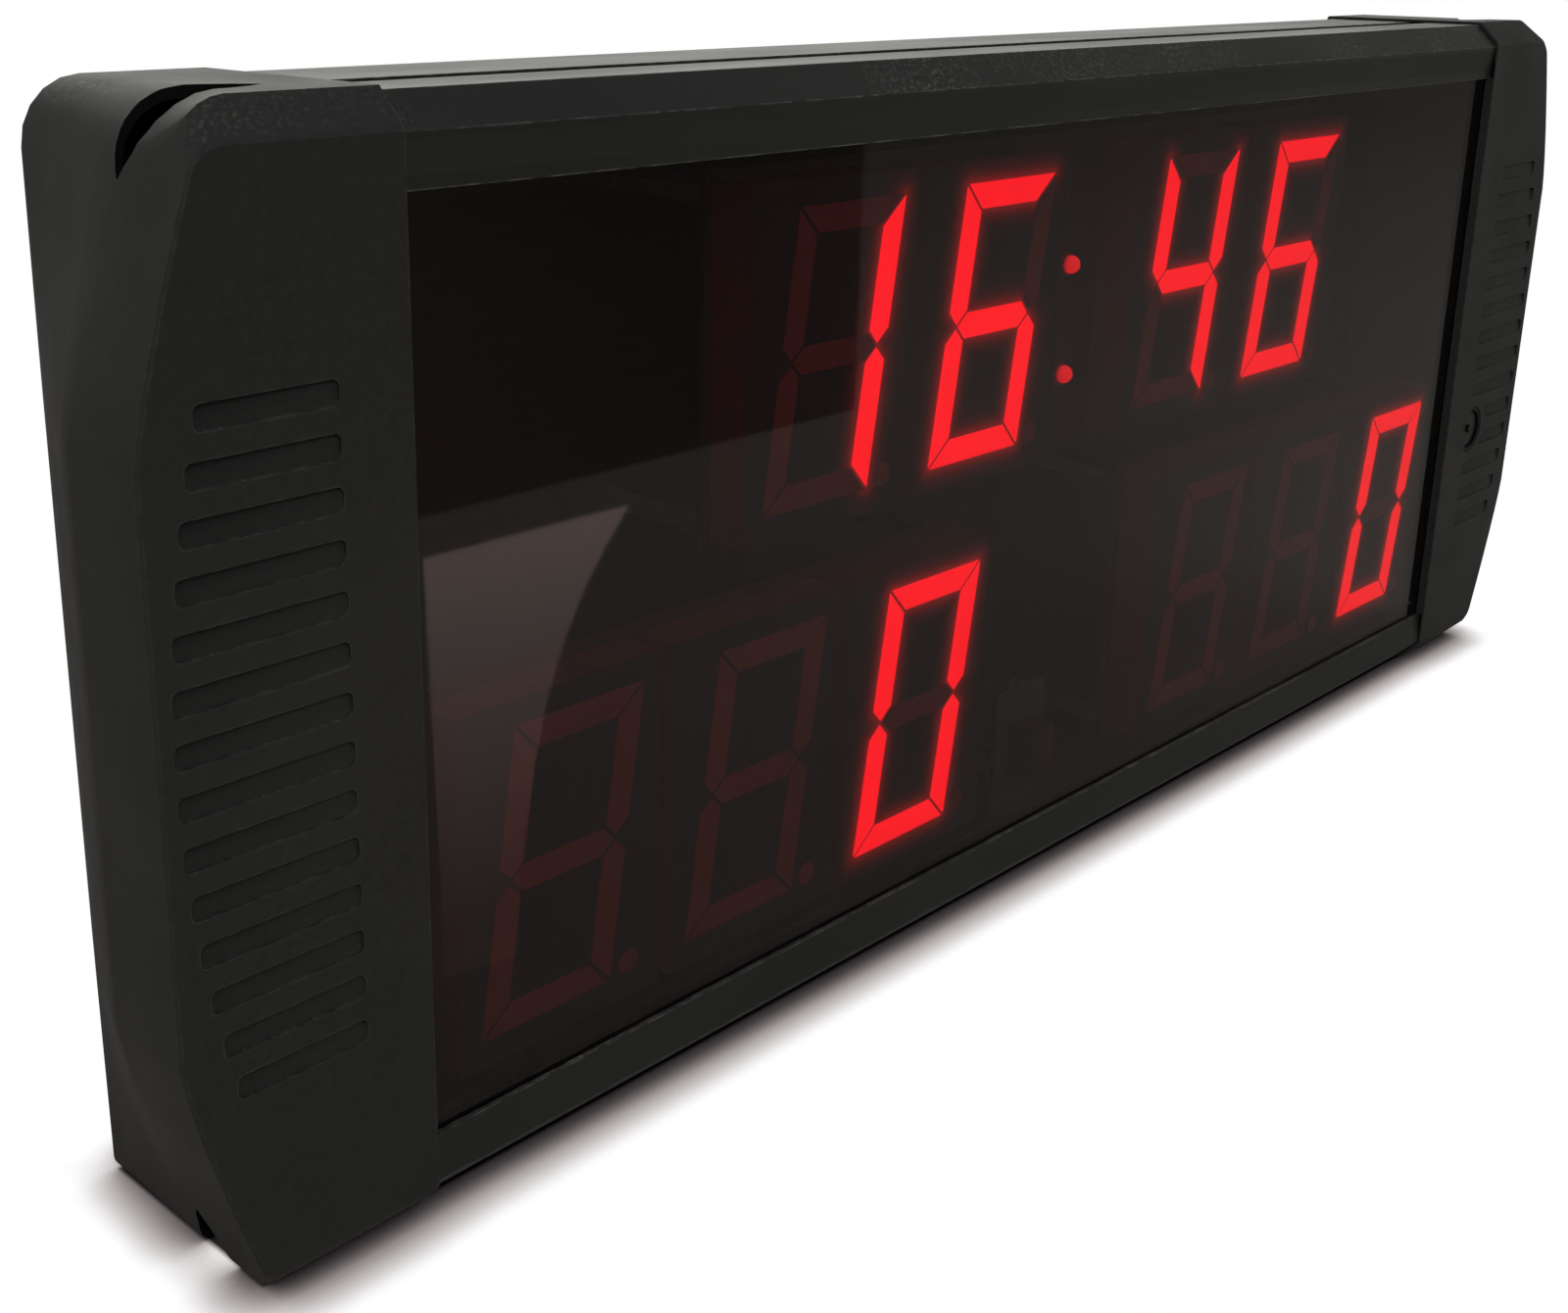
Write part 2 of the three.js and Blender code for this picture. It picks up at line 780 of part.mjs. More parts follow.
// Moves each side of a convex outline in by a distance.
function inset(points, distance) {
  const area = THREE.ShapeUtils.area(points.map(([x, y]) => new THREE.Vector2(x, y)));
  const ring = area > 0 ? points : [...points].reverse();
  const sides = ring.map((p, i) => {
    const q = ring[(i + 1) % ring.length];
    const along = new THREE.Vector2(q[0] - p[0], q[1] - p[1]).normalize();
    const offset = new THREE.Vector2(-along.y, along.x).multiplyScalar(distance);
    return { start: new THREE.Vector2(p[0], p[1]).add(offset), along };
  });
  return sides.map((side, i) => {
    const before = sides[(i + sides.length - 1) % sides.length];
    const between = side.start.clone().sub(before.start);
    const reach = between.cross(side.along) / before.along.cross(side.along);
    const corner = before.start.clone().addScaledVector(before.along, reach);
    return [corner.x, corner.y];
  });
}

function makeDigit(x, z) {
  const face = moduleFront + segmentRelief;
  const x0 = x - moduleWidth / 2;
  const z0 = z - moduleHeight / 2;
  const body = block(
    x0, x0 + moduleWidth, face, face + moduleThickness, z0, z0 + moduleHeight);
  const lift = (points) =>
    points.map(([u, v]) => [x + u + v * slantShare, z + digitRise + v]);
  const segments = segmentOutlines().map((points) => {
    const outline = lift(inset(points, segmentGap / 2));
    return alongY(shapeOf(outline), moduleFront, face + seatGap);
  });
  const pointX = x + digitWidth / 2 - (digitHeight * slantShare) / 2 + pointOffset;
  const pointZ = z + digitRise - digitHeight / 2 + pointRadius;
  const point = rod(
    pointRadius, moduleFront, face + seatGap, pointX, pointZ, smallSides);
  return combine([body, ...segments, point]);
}

function makeLamp(z) {
  const base = boardFront - seatGap;
  const shoulder = base - lampBaseHeight;
  const springing = shoulder - lampLength + lampRadius;
  const profile = [[0, springing - lampRadius]];
  for (let i = 1; i <= domeSteps; i++) {
    const angle = ((i / domeSteps) * Math.PI) / 2;
    const radius = lampRadius * Math.sin(angle);
    profile.push([radius, springing - lampRadius * Math.cos(angle)]);
  }
  profile.push([lampRadius, shoulder], [lampBase, shoulder], [lampBase, base], [0, base]);
  return turned(profile, -lampOffset, z, roundSides);
}

// Boards, standoffs and what sits on them

function makeBoard(x0, x1, z0, z1, y0 = boardFront) {
  return block(x0, x1, y0, y0 + boardThickness, z0, z1);
}

// A board behind a row of modules, with a standoff near each of its corners.
function placeRow(name, centres, z) {
  const half = moduleWidth / 2 + boardMargin;
  const x0 = Math.min(...centres) - half;
  const x1 = Math.max(...centres) + half;
  const rise = moduleHeight / 2 + boardMargin;
  place(name + "_board", makeBoard(x0, x1, z - rise, z + rise), laminate);
  centres.forEach((x, i) => place(name + "_digit_" + (i + 1), makeDigit(x, z), display));
  const corners = [x0 + standoffInset, x1 - standoffInset].flatMap((x) => [
    [x, z - rise + standoffInset],
    [x, z + rise - standoffInset],
  ]);
  placeStandoffs(name, corners, boardBack);
}

function placeStandoffs(name, corners, from) {
  corners.forEach(([x, z], i) => {
    const geometry = hexRod(standoffFlats, from + seatGap, panelDepth - seatGap, x, z);
    place(name + "_standoff_" + (i + 1), geometry, plated);
  });
}

function placeReceiver() {
  const x = -receiverOffset;
  const z = receiverRise;
  const halfWidth = receiverBoardWidth / 2;
  const halfHeight = receiverBoardHeight / 2;
  const halfBody = receiverWidth / 2;
  const z0 = z - receiverHeight / 2;
  const z1 = z0 + receiverHeight;
  const sheet = makeBoard(x - halfWidth, x + halfWidth, z - halfHeight, z + halfHeight);
  place("ir_board", sheet, laminate);
  const back = boardFront - seatGap;
  const body = block(x - halfBody, x + halfBody, back - receiverThickness, back, z0, z1);
  place("ir_receiver", body, blackPlastic);
  const offset = halfHeight - standoffInset + seatGap;
  placeStandoffs("ir", [[x, z - offset], [x, z + offset]], boardBack);
}

function placeControl() {
  const z = middle + controlRise;
  const half = controlSize / 2;
  const back = panelDepth - controlSpacer;
  const front = back - boardThickness;
  place("control_board", makeBoard(-half, half, z - half, z + half, front), laminate);
  const offset = half - standoffInset;
  const corners = [-offset, offset].flatMap((x) => [
    [x, z - offset],
    [x, z + offset],
  ]);
  placeStandoffs("control", corners, back);
  const y0 = back + seatGap;
  place("buzzer", rod(buzzerRadius, y0, y0 + buzzerHeight, 0, z, roundSides), blackPlastic);
}

// Power inlet and switch

function makeInlet() {
  const seat = panelBack + seatGap;
  const face = seat + inletFlangeHeight;
  const profile = [
    [0, seat - inletLength],
    [inletBarrel, seat - inletLength],
    [inletBarrel, seat],
    [inletFlange, seat],
    [inletFlange, face],
    [inletBore, face],
    [inletBore, face - inletBoreDepth],
    [inletPin, face - inletBoreDepth],
    [inletPin, face - inletPinSetback],
    [0, face - inletPinSetback],
  ];
  return turned(profile, inletOffset, inletRise, roundSides);
}

function makeNut() {
  const y1 = panelDepth - seatGap;
  const y0 = y1 - nutHeight;
  const bore = inletBarrel + slideGap;
  return combine(
    [hexRod(nutFlats, y0, y1, inletOffset, inletRise)],
    [rod(bore, y0 - overrun, y1 + overrun, inletOffset, inletRise, roundSides)],
  );
}

function pivotY() {
  return panelBack + seatGap + switchFrameHeight - pivotDepth;
}

function makeSwitchHousing() {
  const seat = panelBack + seatGap;
  const face = seat + switchFrameHeight;
  const x = switchOffset;
  const z = inletRise;
  const halfWidth = switchWidth / 2;
  const halfHeight = switchHeight / 2;
  const wide = halfWidth + switchFrame;
  const tall = halfHeight + switchFrame;
  const innerWidth = halfWidth - switchWall;
  const innerHeight = halfHeight - switchWall;
  const frame = roundedOutline(x - wide, x + wide, z - tall, z + tall, switchFrame);
  const body = block(
    x - halfWidth, x + halfWidth, seat - switchDepth, face, z - halfHeight, z + halfHeight);
  const well = block(
    x - innerWidth, x + innerWidth, seat - switchDepth + switchWall, face + overrun,
    z - innerHeight, z + innerHeight);
  const reach = innerWidth + pivotPin + slideGap;
  const pivot = rodAlongX(rockerPivot + slideGap, x - reach, x + reach);
  return combine([alongY(frame, seat, face), body], [well, pivot]);
}

function rodAlongX(radius, x0, x1) {
  const geometry = new THREE.CylinderGeometry(radius, radius, x1 - x0, roundSides);
  geometry.rotateZ(Math.PI / 2);
  return geometry.translate((x0 + x1) / 2, pivotY(), inletRise);
}

// The rocker rests at one end of its swing, as one piece with its pivot pins.
function makeRocker() {
  const innerWidth = switchWidth / 2 - switchWall;
  const half = innerWidth - slideGap;
  const swing = THREE.MathUtils.degToRad(rockerSwing);
  const dip = rockerHalf * Math.tan(swing);
  const points = [
    [-rockerFoot, -rockerHalf / 2],
    [rockerCrown, -rockerHalf],
    [rockerCrown - dip, 0],
    [rockerCrown, rockerHalf],
    [-rockerFoot, rockerHalf / 2],
  ];
  const turnedPoints = points.map(([y, z]) => [
    pivotY() + y * Math.cos(swing) + z * Math.sin(swing),
    inletRise - y * Math.sin(swing) + z * Math.cos(swing),
  ]);
  const reach = innerWidth + pivotPin;
  return combine([
    alongX(shapeOf(turnedPoints), switchOffset - half, switchOffset + half),
    rodAlongX(rockerPivot, switchOffset - reach, switchOffset + reach),
  ]);
}

// Hangers and cap screws

function makeHanger(x) {
  const z1 = housingHeight - railSetback - hangerDrop;
  const z0 = z1 - hangerHeight;
  const x0 = x - hangerWidth / 2;
  const y0 = railRear + seatGap;
  const y1 = y0 + hangerThickness;
  const z = z0 + keyholeRise;
  const outline = roundedOutline(x0, x0 + hangerWidth, z0, z1, hangerCorner);
  const top = z + keyholeTravel;
  const neck = block(x - keyholeNeck, x + keyholeNeck, y0 - overrun, y1 + overrun, z, top);
  const cuts = [
    rod(keyholeHead, y0 - overrun, y1 + overrun, x, z, roundSides),
    rod(keyholeNeck, y0 - overrun, y1 + overrun, x, top, smallSides),
    neck,
  ];
  return combine([alongY(outline, y0, y1)], cuts);
}

function makeScrew(x, z) {
  const under = screwSeat();
  const tip = under - screwLength;
  const profile = [
    [0, tip],
    [screwRadius, tip],
    [screwRadius, under],
    [screwHead, under],
    [screwHead, under + screwHeadHeight],
    [0, under + screwHeadHeight],
  ];
  return turned(profile, x, z, roundSides);
}

// Assembly

place("bottom_rail", makeRail(false), extrusion);
place("top_rail", makeRail(true), extrusion);
place("right_end_cap", makeCap(true), moulding);
place("left_end_cap", makeCap(false), moulding).scale.x = -1;
place("window_panel", makeWindow(), smoked);
place("back_panel", makePanel(), extrusion);

const innerTime = (moduleWidth + colonSpace) / 2;
const outerTeam = capEdgeX - sideSpace - moduleWidth / 2;
const timePlaces = [innerTime, innerTime + modulePitch];
const teamPlaces = [];
for (let i = teamDigits - 1; i >= 0; i--) {
  teamPlaces.push(outerTeam - modulePitch * i);
}
const mirrored = (places) => places.map((x) => -x).reverse();
placeRow("time", [...mirrored(timePlaces), ...timePlaces], middle + rowOffset);
placeRow("home", mirrored(teamPlaces), middle - rowOffset);
placeRow("guest", teamPlaces, middle - rowOffset);
place("colon_lamp_upper", makeLamp(middle + rowOffset + lampRise), lens);
place("colon_lamp_lower", makeLamp(middle + rowOffset - lampDrop), lens);
placeReceiver();
placeControl();

place("dc_inlet", makeInlet(), blackPlastic);
place("inlet_nut", makeNut(), plated);
place("switch_housing", makeSwitchHousing(), blackPlastic);
place("switch_rocker", makeRocker(), blackPlastic);
place("side_button", makeButton(), blackPlastic);
place("key_board", makeKeyBoard(), laminate);

place("hanger_left", makeHanger(-hangerOffset), plated);
place("hanger_right", makeHanger(hangerOffset), plated);
for (const [end, z] of [["lower", screwRise], ["upper", housingHeight - screwRise]]) {
  place("cap_screw_left_" + end, makeScrew(-screwX(), z), plated);
  place("cap_screw_right_" + end, makeScrew(screwX(), z), plated);
}

export default board;
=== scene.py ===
# Electronic scoreboard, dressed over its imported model. In metres: X runs along the board, its read side
# faces -Y and Z is up.
import math

import bmesh
import bpy
from mathutils import Matrix, Vector


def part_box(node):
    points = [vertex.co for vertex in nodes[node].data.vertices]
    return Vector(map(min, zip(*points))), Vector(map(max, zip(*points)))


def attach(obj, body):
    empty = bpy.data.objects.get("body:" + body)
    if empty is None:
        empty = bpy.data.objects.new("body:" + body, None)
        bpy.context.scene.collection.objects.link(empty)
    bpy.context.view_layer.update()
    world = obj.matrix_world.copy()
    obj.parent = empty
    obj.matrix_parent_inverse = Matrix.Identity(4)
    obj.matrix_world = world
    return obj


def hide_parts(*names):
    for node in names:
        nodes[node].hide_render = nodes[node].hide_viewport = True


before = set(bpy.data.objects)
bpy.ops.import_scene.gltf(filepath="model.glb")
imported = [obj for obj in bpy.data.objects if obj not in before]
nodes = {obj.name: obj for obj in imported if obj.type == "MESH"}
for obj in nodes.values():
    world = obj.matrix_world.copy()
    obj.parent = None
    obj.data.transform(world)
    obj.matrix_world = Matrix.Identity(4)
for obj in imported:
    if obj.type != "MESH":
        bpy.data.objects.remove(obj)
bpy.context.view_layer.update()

# Camera. It stands close to the board's left end and a little above it, with a normal lens held almost level.
# The picture is a crop, so the lens axis lies a little left of and above its middle.
picture_width, picture_height = 1600, 1340
film_width = 36
focal_pixels = 1981.6
axis_pixel = (707.9, 558.1)
heading, dip, roll = 0.80494, 0.30667, 0.01199
stand = Vector((-0.49070, -0.33880, 0.28285))
forward = Vector((math.sin(heading) * math.cos(dip), math.cos(heading) * math.cos(dip), -math.sin(dip)))
level = Vector((math.cos(heading), -math.sin(heading), 0))
upright = level.cross(forward)
across = level * math.cos(roll) + upright * math.sin(roll)
above = upright * math.cos(roll) - level * math.sin(roll)
lens = bpy.data.cameras.new("camera")
lens.sensor_width = film_width
lens.lens = focal_pixels / picture_width * film_width
lens.shift_x = (picture_width / 2 - axis_pixel[0]) / picture_width
lens.shift_y = (axis_pixel[1] - picture_height / 2) / picture_width
camera = bpy.data.objects.new("camera", lens)
camera.matrix_world = Matrix.Translation(stand) @ Matrix((across, above, -forward)).transposed().to_4x4()
bpy.context.collection.objects.link(camera)
bpy.context.scene.camera = camera
bpy.context.scene.view_settings.view_transform = "Standard"


# Floor and light. The floor shows white to the camera and carries a painted shadow: an occlusion node darkens
# it along the board's foot, and it turns near black over the board's footprint. Two soft lamps and a pale sky
# light the board. Dark and pale cards that only reflections can see stand around it and lie before it, so the
# window mirrors a studio.
def step(tree, kind, inputs=None, **settings):
    """Adds one node, sets its settings, and fills or links its inputs."""
    node = tree.nodes.new(kind)
    for name, value in settings.items():
        setattr(node, name, value)
    for name, value in (inputs or {}).items():
        if isinstance(value, bpy.types.NodeSocket):
            tree.links.new(value, node.inputs[name])
        else:
            node.inputs[name].default_value = value
    return node


def math_step(tree, operation, first, second=0.0):
    return step(tree, "ShaderNodeMath", {0: first, 1: second}, operation=operation).outputs[0]


def vector_step(tree, operation, inputs, output=0):
    return step(tree, "ShaderNodeVectorMath", inputs, operation=operation).outputs[output]


def axis_value(tree, vector, axis):
    return step(tree, "ShaderNodeSeparateXYZ", {0: vector}).outputs[axis]


def mapped(tree, value, low, high, new_low=0.0, new_high=1.0):
    """Maps a value from one range to another and holds it there."""
    return step(tree, "ShaderNodeMapRange", {"Value": value, "From Min": low, "From Max": high,
                                             "To Min": new_low, "To Max": new_high}).outputs[0]


def blend_color(tree, mask, first, second):
    """Mixes two colours by a mask; each is three numbers or another node's output."""
    pair = [color if isinstance(color, bpy.types.NodeSocket) else (*color, 1) for color in (first, second)]
    return step(tree, "ShaderNodeMix", {0: mask, 6: pair[0], 7: pair[1]}, data_type="RGBA").outputs[2]


def object_place(tree):
    return step(tree, "ShaderNodeTexCoord").outputs["Object"]


def clear_material(name):
    material = bpy.data.materials.new(name)
    material.use_nodes = True
    material.node_tree.nodes.clear()
    return material, material.node_tree


def sheet_mesh(name, corners, material):
    mesh = bpy.data.meshes.new(name)
    mesh.from_pydata(corners, [], [range(len(corners))])
    mesh.materials.append(material)
    sheet = bpy.data.objects.new(name, mesh)
    bpy.context.collection.objects.link(sheet)
    return sheet


floor_reach = 9
floor_tint = (1.0, 0.94, 0.87)
contact_reach = 0.016
contact_color = (1.0, 0.86, 0.87)
shadow_power = 2.0
base_middle, base_half = (0, 0.00345, 0), (0.2993, 0.0306, 1)
base_blur, base_dark = 0.0014, 0.03
paper, tree = clear_material("floor_paper")
spot = object_place(tree)
grain = step(tree, "ShaderNodeTexNoise", {"Vector": spot, "Scale": 2.5}).outputs["Fac"]
tint = vector_step(tree, "SCALE", {0: floor_tint, "Scale": mapped(tree, grain, 0.0, 1.0, 0.19, 0.22)})
lit = step(tree, "ShaderNodeBsdfDiffuse", {"Color": tint})
# Painted shadow: an occlusion node darkens the floor's white near the board, with a warm tint.
near = step(tree, "ShaderNodeAmbientOcclusion", {"Distance": contact_reach}, samples=16).outputs["AO"]
white = math_step(tree, "POWER", mapped(tree, near, 0.08, 0.93), shadow_power)
# Painted shadow: over the board's footprint the floor turns near black.
beside = vector_step(tree, "SUBTRACT", {0: spot, 1: base_middle})
beside = vector_step(tree, "ABSOLUTE", {0: beside})
beside = vector_step(tree, "SUBTRACT", {0: beside, 1: base_half})
beside = math_step(tree, "MAXIMUM", axis_value(tree, beside, "X"), axis_value(tree, beside, "Y"))
white = math_step(tree, "MULTIPLY", white, mapped(tree, beside, -base_blur, 0.0, base_dark, 1.0))
warm = blend_color(tree, white, contact_color, (1, 1, 1))
seen = step(tree, "ShaderNodeEmission", {"Color": warm, "Strength": white})
camera_ray = step(tree, "ShaderNodeLightPath").outputs["Is Camera Ray"]
mixed = step(tree, "ShaderNodeMixShader", {0: camera_ray, 1: lit.outputs[0], 2: seen.outputs[0]})
step(tree, "ShaderNodeOutputMaterial", {"Surface": mixed.outputs[0]})
sheet_mesh("floor", [(-floor_reach, -floor_reach, 0), (floor_reach, -floor_reach, 0),
                     (floor_reach, floor_reach, 0), (-floor_reach, floor_reach, 0)], paper)

sky_strength = 0.45
mirrored_low, mirrored_high = (0.3, 0.305, 0.285), (0.09, 0.09, 0.09)
world = bpy.data.worlds.new("studio")
bpy.context.scene.world = world
world.use_nodes = True
tree = world.node_tree
tree.nodes.clear()
ray = step(tree, "ShaderNodeLightPath").outputs
soft = step(tree, "ShaderNodeBackground", {"Color": (1, 1, 1, 1), "Strength": sky_strength})
shown = step(tree, "ShaderNodeBackground", {"Color": (1, 1, 1, 1), "Strength": 1})
rise = axis_value(tree, step(tree, "ShaderNodeTexCoord").outputs["Generated"], "Z")
climb = blend_color(tree, mapped(tree, rise, 0.1, 0.75), mirrored_low, mirrored_high)
glossy = step(tree, "ShaderNodeBackground", {"Color": climb, "Strength": 1})
mixed = step(tree, "ShaderNodeMixShader", {0: ray["Is Glossy Ray"], 1: soft.outputs[0], 2: glossy.outputs[0]})
direct = math_step(tree, "MAXIMUM", ray["Is Camera Ray"], ray["Is Transmission Ray"])
mixed = step(tree, "ShaderNodeMixShader", {0: direct, 1: mixed.outputs[0], 2: shown.outputs[0]})
step(tree, "ShaderNodeOutputWorld", {"Surface": mixed.outputs[0]})


def soft_lamp(name, place, target, width, power):
    """A square soft lamp turned to its target; polished faces don't mirror it."""
    light = bpy.data.lights.new(name, "AREA")
    light.shape = "SQUARE"
    light.size = width
    light.energy = power
    lamp = bpy.data.objects.new(name, light)
    lamp.location = place
    lamp.rotation_mode = "QUATERNION"
    lamp.rotation_quaternion = (Vector(target) - Vector(place)).to_track_quat("-Z", "Y")
    lamp.visible_glossy = False
    bpy.context.collection.objects.link(lamp)


board_middle = (0, 0, 0.1)
soft_lamp("key_lamp", (-1.1, -1.7, 1.75), board_middle, width=0.9, power=36)
soft_lamp("rear_lamp", (0.6, 1.5, 2.2), board_middle, width=1.6, power=20)


def card(name, corners, color, strength, fade=None):
    """A card lit by itself that only glossy rays meet; it may fade along Y, to a share of its strength."""
    uneven = 0.15
    shade, tree = clear_material(name)
    spot = object_place(tree)
    drift = step(tree, "ShaderNodeTexNoise", {"Vector": spot, "Scale": 1.5}).outputs["Fac"]
    power = mapped(tree, drift, 0.0, 1.0, strength * (1 - uneven), strength * (1 + uneven))
    if fade:
        full_at, faded_at, share = fade
        fading = mapped(tree, axis_value(tree, spot, "Y"), full_at, faded_at, 1.0, share)
        power = math_step(tree, "MULTIPLY", power, fading)
    glow = step(tree, "ShaderNodeEmission", {"Color": (*color, 1), "Strength": power})
    step(tree, "ShaderNodeOutputMaterial", {"Surface": glow.outputs[0]})
    sheet = sheet_mesh(name, corners, shade)
    sheet.visible_camera = sheet.visible_diffuse = sheet.visible_shadow = False
    sheet.visible_transmission = sheet.visible_volume_scatter = False


def standing(left, right, depth, foot, top):
    return [(left, depth, foot), (right, depth, foot), (right, depth, top), (left, depth, top)]


flag_distance = 0.44
flag_left, flag_right, flag_top = -1.2, 0.43, 0.6
flag_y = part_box("window_panel")[0].y - flag_distance
card("dark_flag", standing(flag_left, flag_right, flag_y, 0, flag_top), (1, 0.95, 0.9), strength=0.03)
wedge_lift = 0.0005
wedge_outline = (
    (0.047, -0.417), (0.180, -0.415), (0.125, -0.374), (0.076, -0.336), (0.020, -0.289), (-0.029, -0.245),
    (-0.077, -0.198), (-0.125, -0.150), (-0.165, -0.105), (-0.189, -0.110), (-0.152, -0.157),
    (-0.051, -0.289))
wedge_corners = [(x, y, wedge_lift) for x, y in wedge_outline]
card("pale_wedge", wedge_corners, (1, 0.78, 0.71), strength=1.1, fade=(-0.4, -0.13, 0.2))
rear_corners = standing(left=-0.2, right=3.2, depth=1.2, foot=0.15, top=1.5)
card("rear_card", rear_corners, (1, 1.02, 0.95), strength=1.25)


# Rails. Two lengths of extruded aluminium, cut square, etched and black anodised; the die leaves fine lines
# along them. They slide into the end caps and are screwed there from behind.
def new_group(name, inputs, outputs):
    tree = bpy.data.node_groups.new(name, "ShaderNodeTree")
    for label, value in inputs.items():
        tree.interface.new_socket(label, in_out="INPUT", socket_type="NodeSocketFloat").default_value = value
    for label in outputs:
        tree.interface.new_socket(label, in_out="OUTPUT", socket_type="NodeSocketFloat")
    return tree, tree.nodes.new("NodeGroupInput"), tree.nodes.new("NodeGroupOutput")


def noise_value(tree, scale, detail):
    noise = step(tree, "ShaderNodeTexNoise", {"Vector": object_place(tree), "Scale": scale, "Detail": detail})
    return noise.outputs["Fac"]


dust_group, entry, leave = new_group("settled_dust", {"Patch Scale": 30.0, "Speck Scale": 900.0}, ["Mask"])
normal = step(dust_group, "ShaderNodeNewGeometry").outputs["Normal"]
upward = mapped(dust_group, axis_value(dust_group, normal, "Z"), 0.55, 0.95)
patches = mapped(dust_group, noise_value(dust_group, entry.outputs["Patch Scale"], detail=3.0), 0.42, 0.7)
specks = mapped(dust_group, noise_value(dust_group, entry.outputs["Speck Scale"], detail=1.0), 0.5, 0.72)
settled = math_step(dust_group, "MULTIPLY", math_step(dust_group, "MULTIPLY", patches, specks), upward)
dust_group.links.new(settled, leave.inputs["Mask"])

# Lightens edges: real wear on most pieces, and a painted highlight where it stands in for an edge's shine.
wear_and_highlight_group, entry, leave = new_group("edge_wear_and_highlight", {"Width": 0.0006, "Break Up": 260.0}, ["Mask"])
rounded = step(wear_and_highlight_group, "ShaderNodeBevel", {"Radius": entry.outputs["Width"]}, samples=4).outputs[0]
normal = step(wear_and_highlight_group, "ShaderNodeNewGeometry").outputs["Normal"]
same = vector_step(wear_and_highlight_group, "DOT_PRODUCT", {0: rounded, 1: normal}, "Value")
turned = mapped(wear_and_highlight_group, same, 0.995, 0.86)
broken = mapped(wear_and_highlight_group, noise_value(wear_and_highlight_group, entry.outputs["Break Up"], detail=4.0), 0.4, 0.62)
wear_and_highlight_group.links.new(math_step(wear_and_highlight_group, "MULTIPLY", turned, broken), leave.inputs["Mask"])


def new_finish(name, **constants):
    """A material with one Principled shader, whose constants are set on its own sockets."""
    finish, tree = clear_material(name)
    constants = {label.replace("_", " "): value for label, value in constants.items()}
    body = step(tree, "ShaderNodeBsdfPrincipled", constants)
    step(tree, "ShaderNodeOutputMaterial", {"Surface": body.outputs[0]})
    return finish, tree, body


def feed(tree, body, **inputs):
    """Links what changes over the surface to the shader's sockets."""
    for name, value in inputs.items():
        tree.links.new(value, body.inputs[name.replace("_", " ")])


def group_mask(tree, group, **inputs):
    used = step(tree, "ShaderNodeGroup", node_tree=group)
    for name, value in inputs.items():
        used.inputs[name.replace("_", " ")].default_value = value
    return used.outputs["Mask"]


def noise_range(tree, scale, low=0.0, high=1.0, stretch=(1, 1, 1), detail=3.0):
    """Noise over the piece, of that scale and stretch, mapped to a range."""
    place = step(tree, "ShaderNodeMapping", {"Vector": object_place(tree), "Scale": stretch}).outputs[0]
    noise = step(tree, "ShaderNodeTexNoise", {"Vector": place, "Scale": scale, "Detail": detail})
    return mapped(tree, noise.outputs["Fac"], 0.3, 0.7, low, high)


def mottled(tree, scale, first, second, **spread):
    """Two like colours mixed by noise."""
    return blend_color(tree, noise_range(tree, scale, **spread), first, second)


def relief(tree, height, strength, distance):
    bump = step(tree, "ShaderNodeBump", {"Strength": strength, "Distance": distance, "Height": height})
    return bump.outputs[0]


def dress(name, material):
    """Gives a node of the model its finish; its mesh stays as it is."""
    node = nodes[name]
    if not node.material_slots:
        node.data.materials.append(None)
    for slot in node.material_slots:
        slot.link = "OBJECT"
        slot.material = material


anodised, tree, body = new_finish("black_anodised_extrusion", Metallic=0.0, IOR=1.55)
die_lines = noise_range(tree, 1.0, stretch=(4, 2600, 2600), detail=2.0)
color = mottled(tree, 26.0, (0.0095, 0.01, 0.0092), (0.0135, 0.014, 0.0128), stretch=(0.4, 1, 1))
# The rails' edges are painted lighter, partly as wear and partly as a painted highlight along the rim.
color = blend_color(tree, group_mask(tree, wear_and_highlight_group, Width=0.0007), color, (0.12, 0.12, 0.113))
color = blend_color(tree, group_mask(tree, dust_group, Patch_Scale=22.0), color, (0.11, 0.105, 0.095))
rough = math_step(tree, "ADD", noise_range(tree, 60.0, 0.36, 0.44, stretch=(0.2, 1, 1)),
                  math_step(tree, "MULTIPLY", die_lines, 0.06))
feed(tree, body, Base_Color=color, Roughness=rough,
     Normal=relief(tree, die_lines, strength=0.12, distance=0.00003))
for name in ("top_rail", "bottom_rail"):
    dress(name, anodised)


# End caps. Each is one hollow moulding in black ABS with a spark-eroded surface; its edges are painted
# lighter, partly as polish wear and partly as painted sheen. Each has two crescent openings and shallow grip
# pockets; the right one also holds the button.
edge_round = 0.00035
sharp_from = math.radians(32)
smooth_below = math.radians(24)
weld_gap, level_gap = 1e-6, 1e-5
square_on = 0.99


def merged_copy(node_name, piece_name, flatten=math.radians(0.2)):
    """A welded copy of a node of the model, with its flat faces made whole."""
    work = bmesh.new()
    work.from_mesh(nodes[node_name].data)
    bmesh.ops.remove_doubles(work, verts=work.verts, dist=weld_gap)
    bmesh.ops.dissolve_limit(work, angle_limit=flatten, verts=work.verts, edges=work.edges)
    return new_piece(piece_name, work)


def new_piece(name, work, material=None):
    """Turns the finished work into an object, with its material if it has only one."""
    mesh = bpy.data.meshes.new(name)
    work.to_mesh(mesh)
    work.free()
    if material:
        mesh.materials.append(material)
    piece = bpy.data.objects.new(name, mesh)
    bpy.context.collection.objects.link(piece)
    return piece


def bake_modifiers(piece):
    """Turns a piece and its modifiers into a plain mesh."""
    view = bpy.context.evaluated_depsgraph_get()
    view.update()
    mesh = bpy.data.meshes.new_from_object(piece.evaluated_get(view))
    piece.modifiers.clear()
    piece.data = mesh


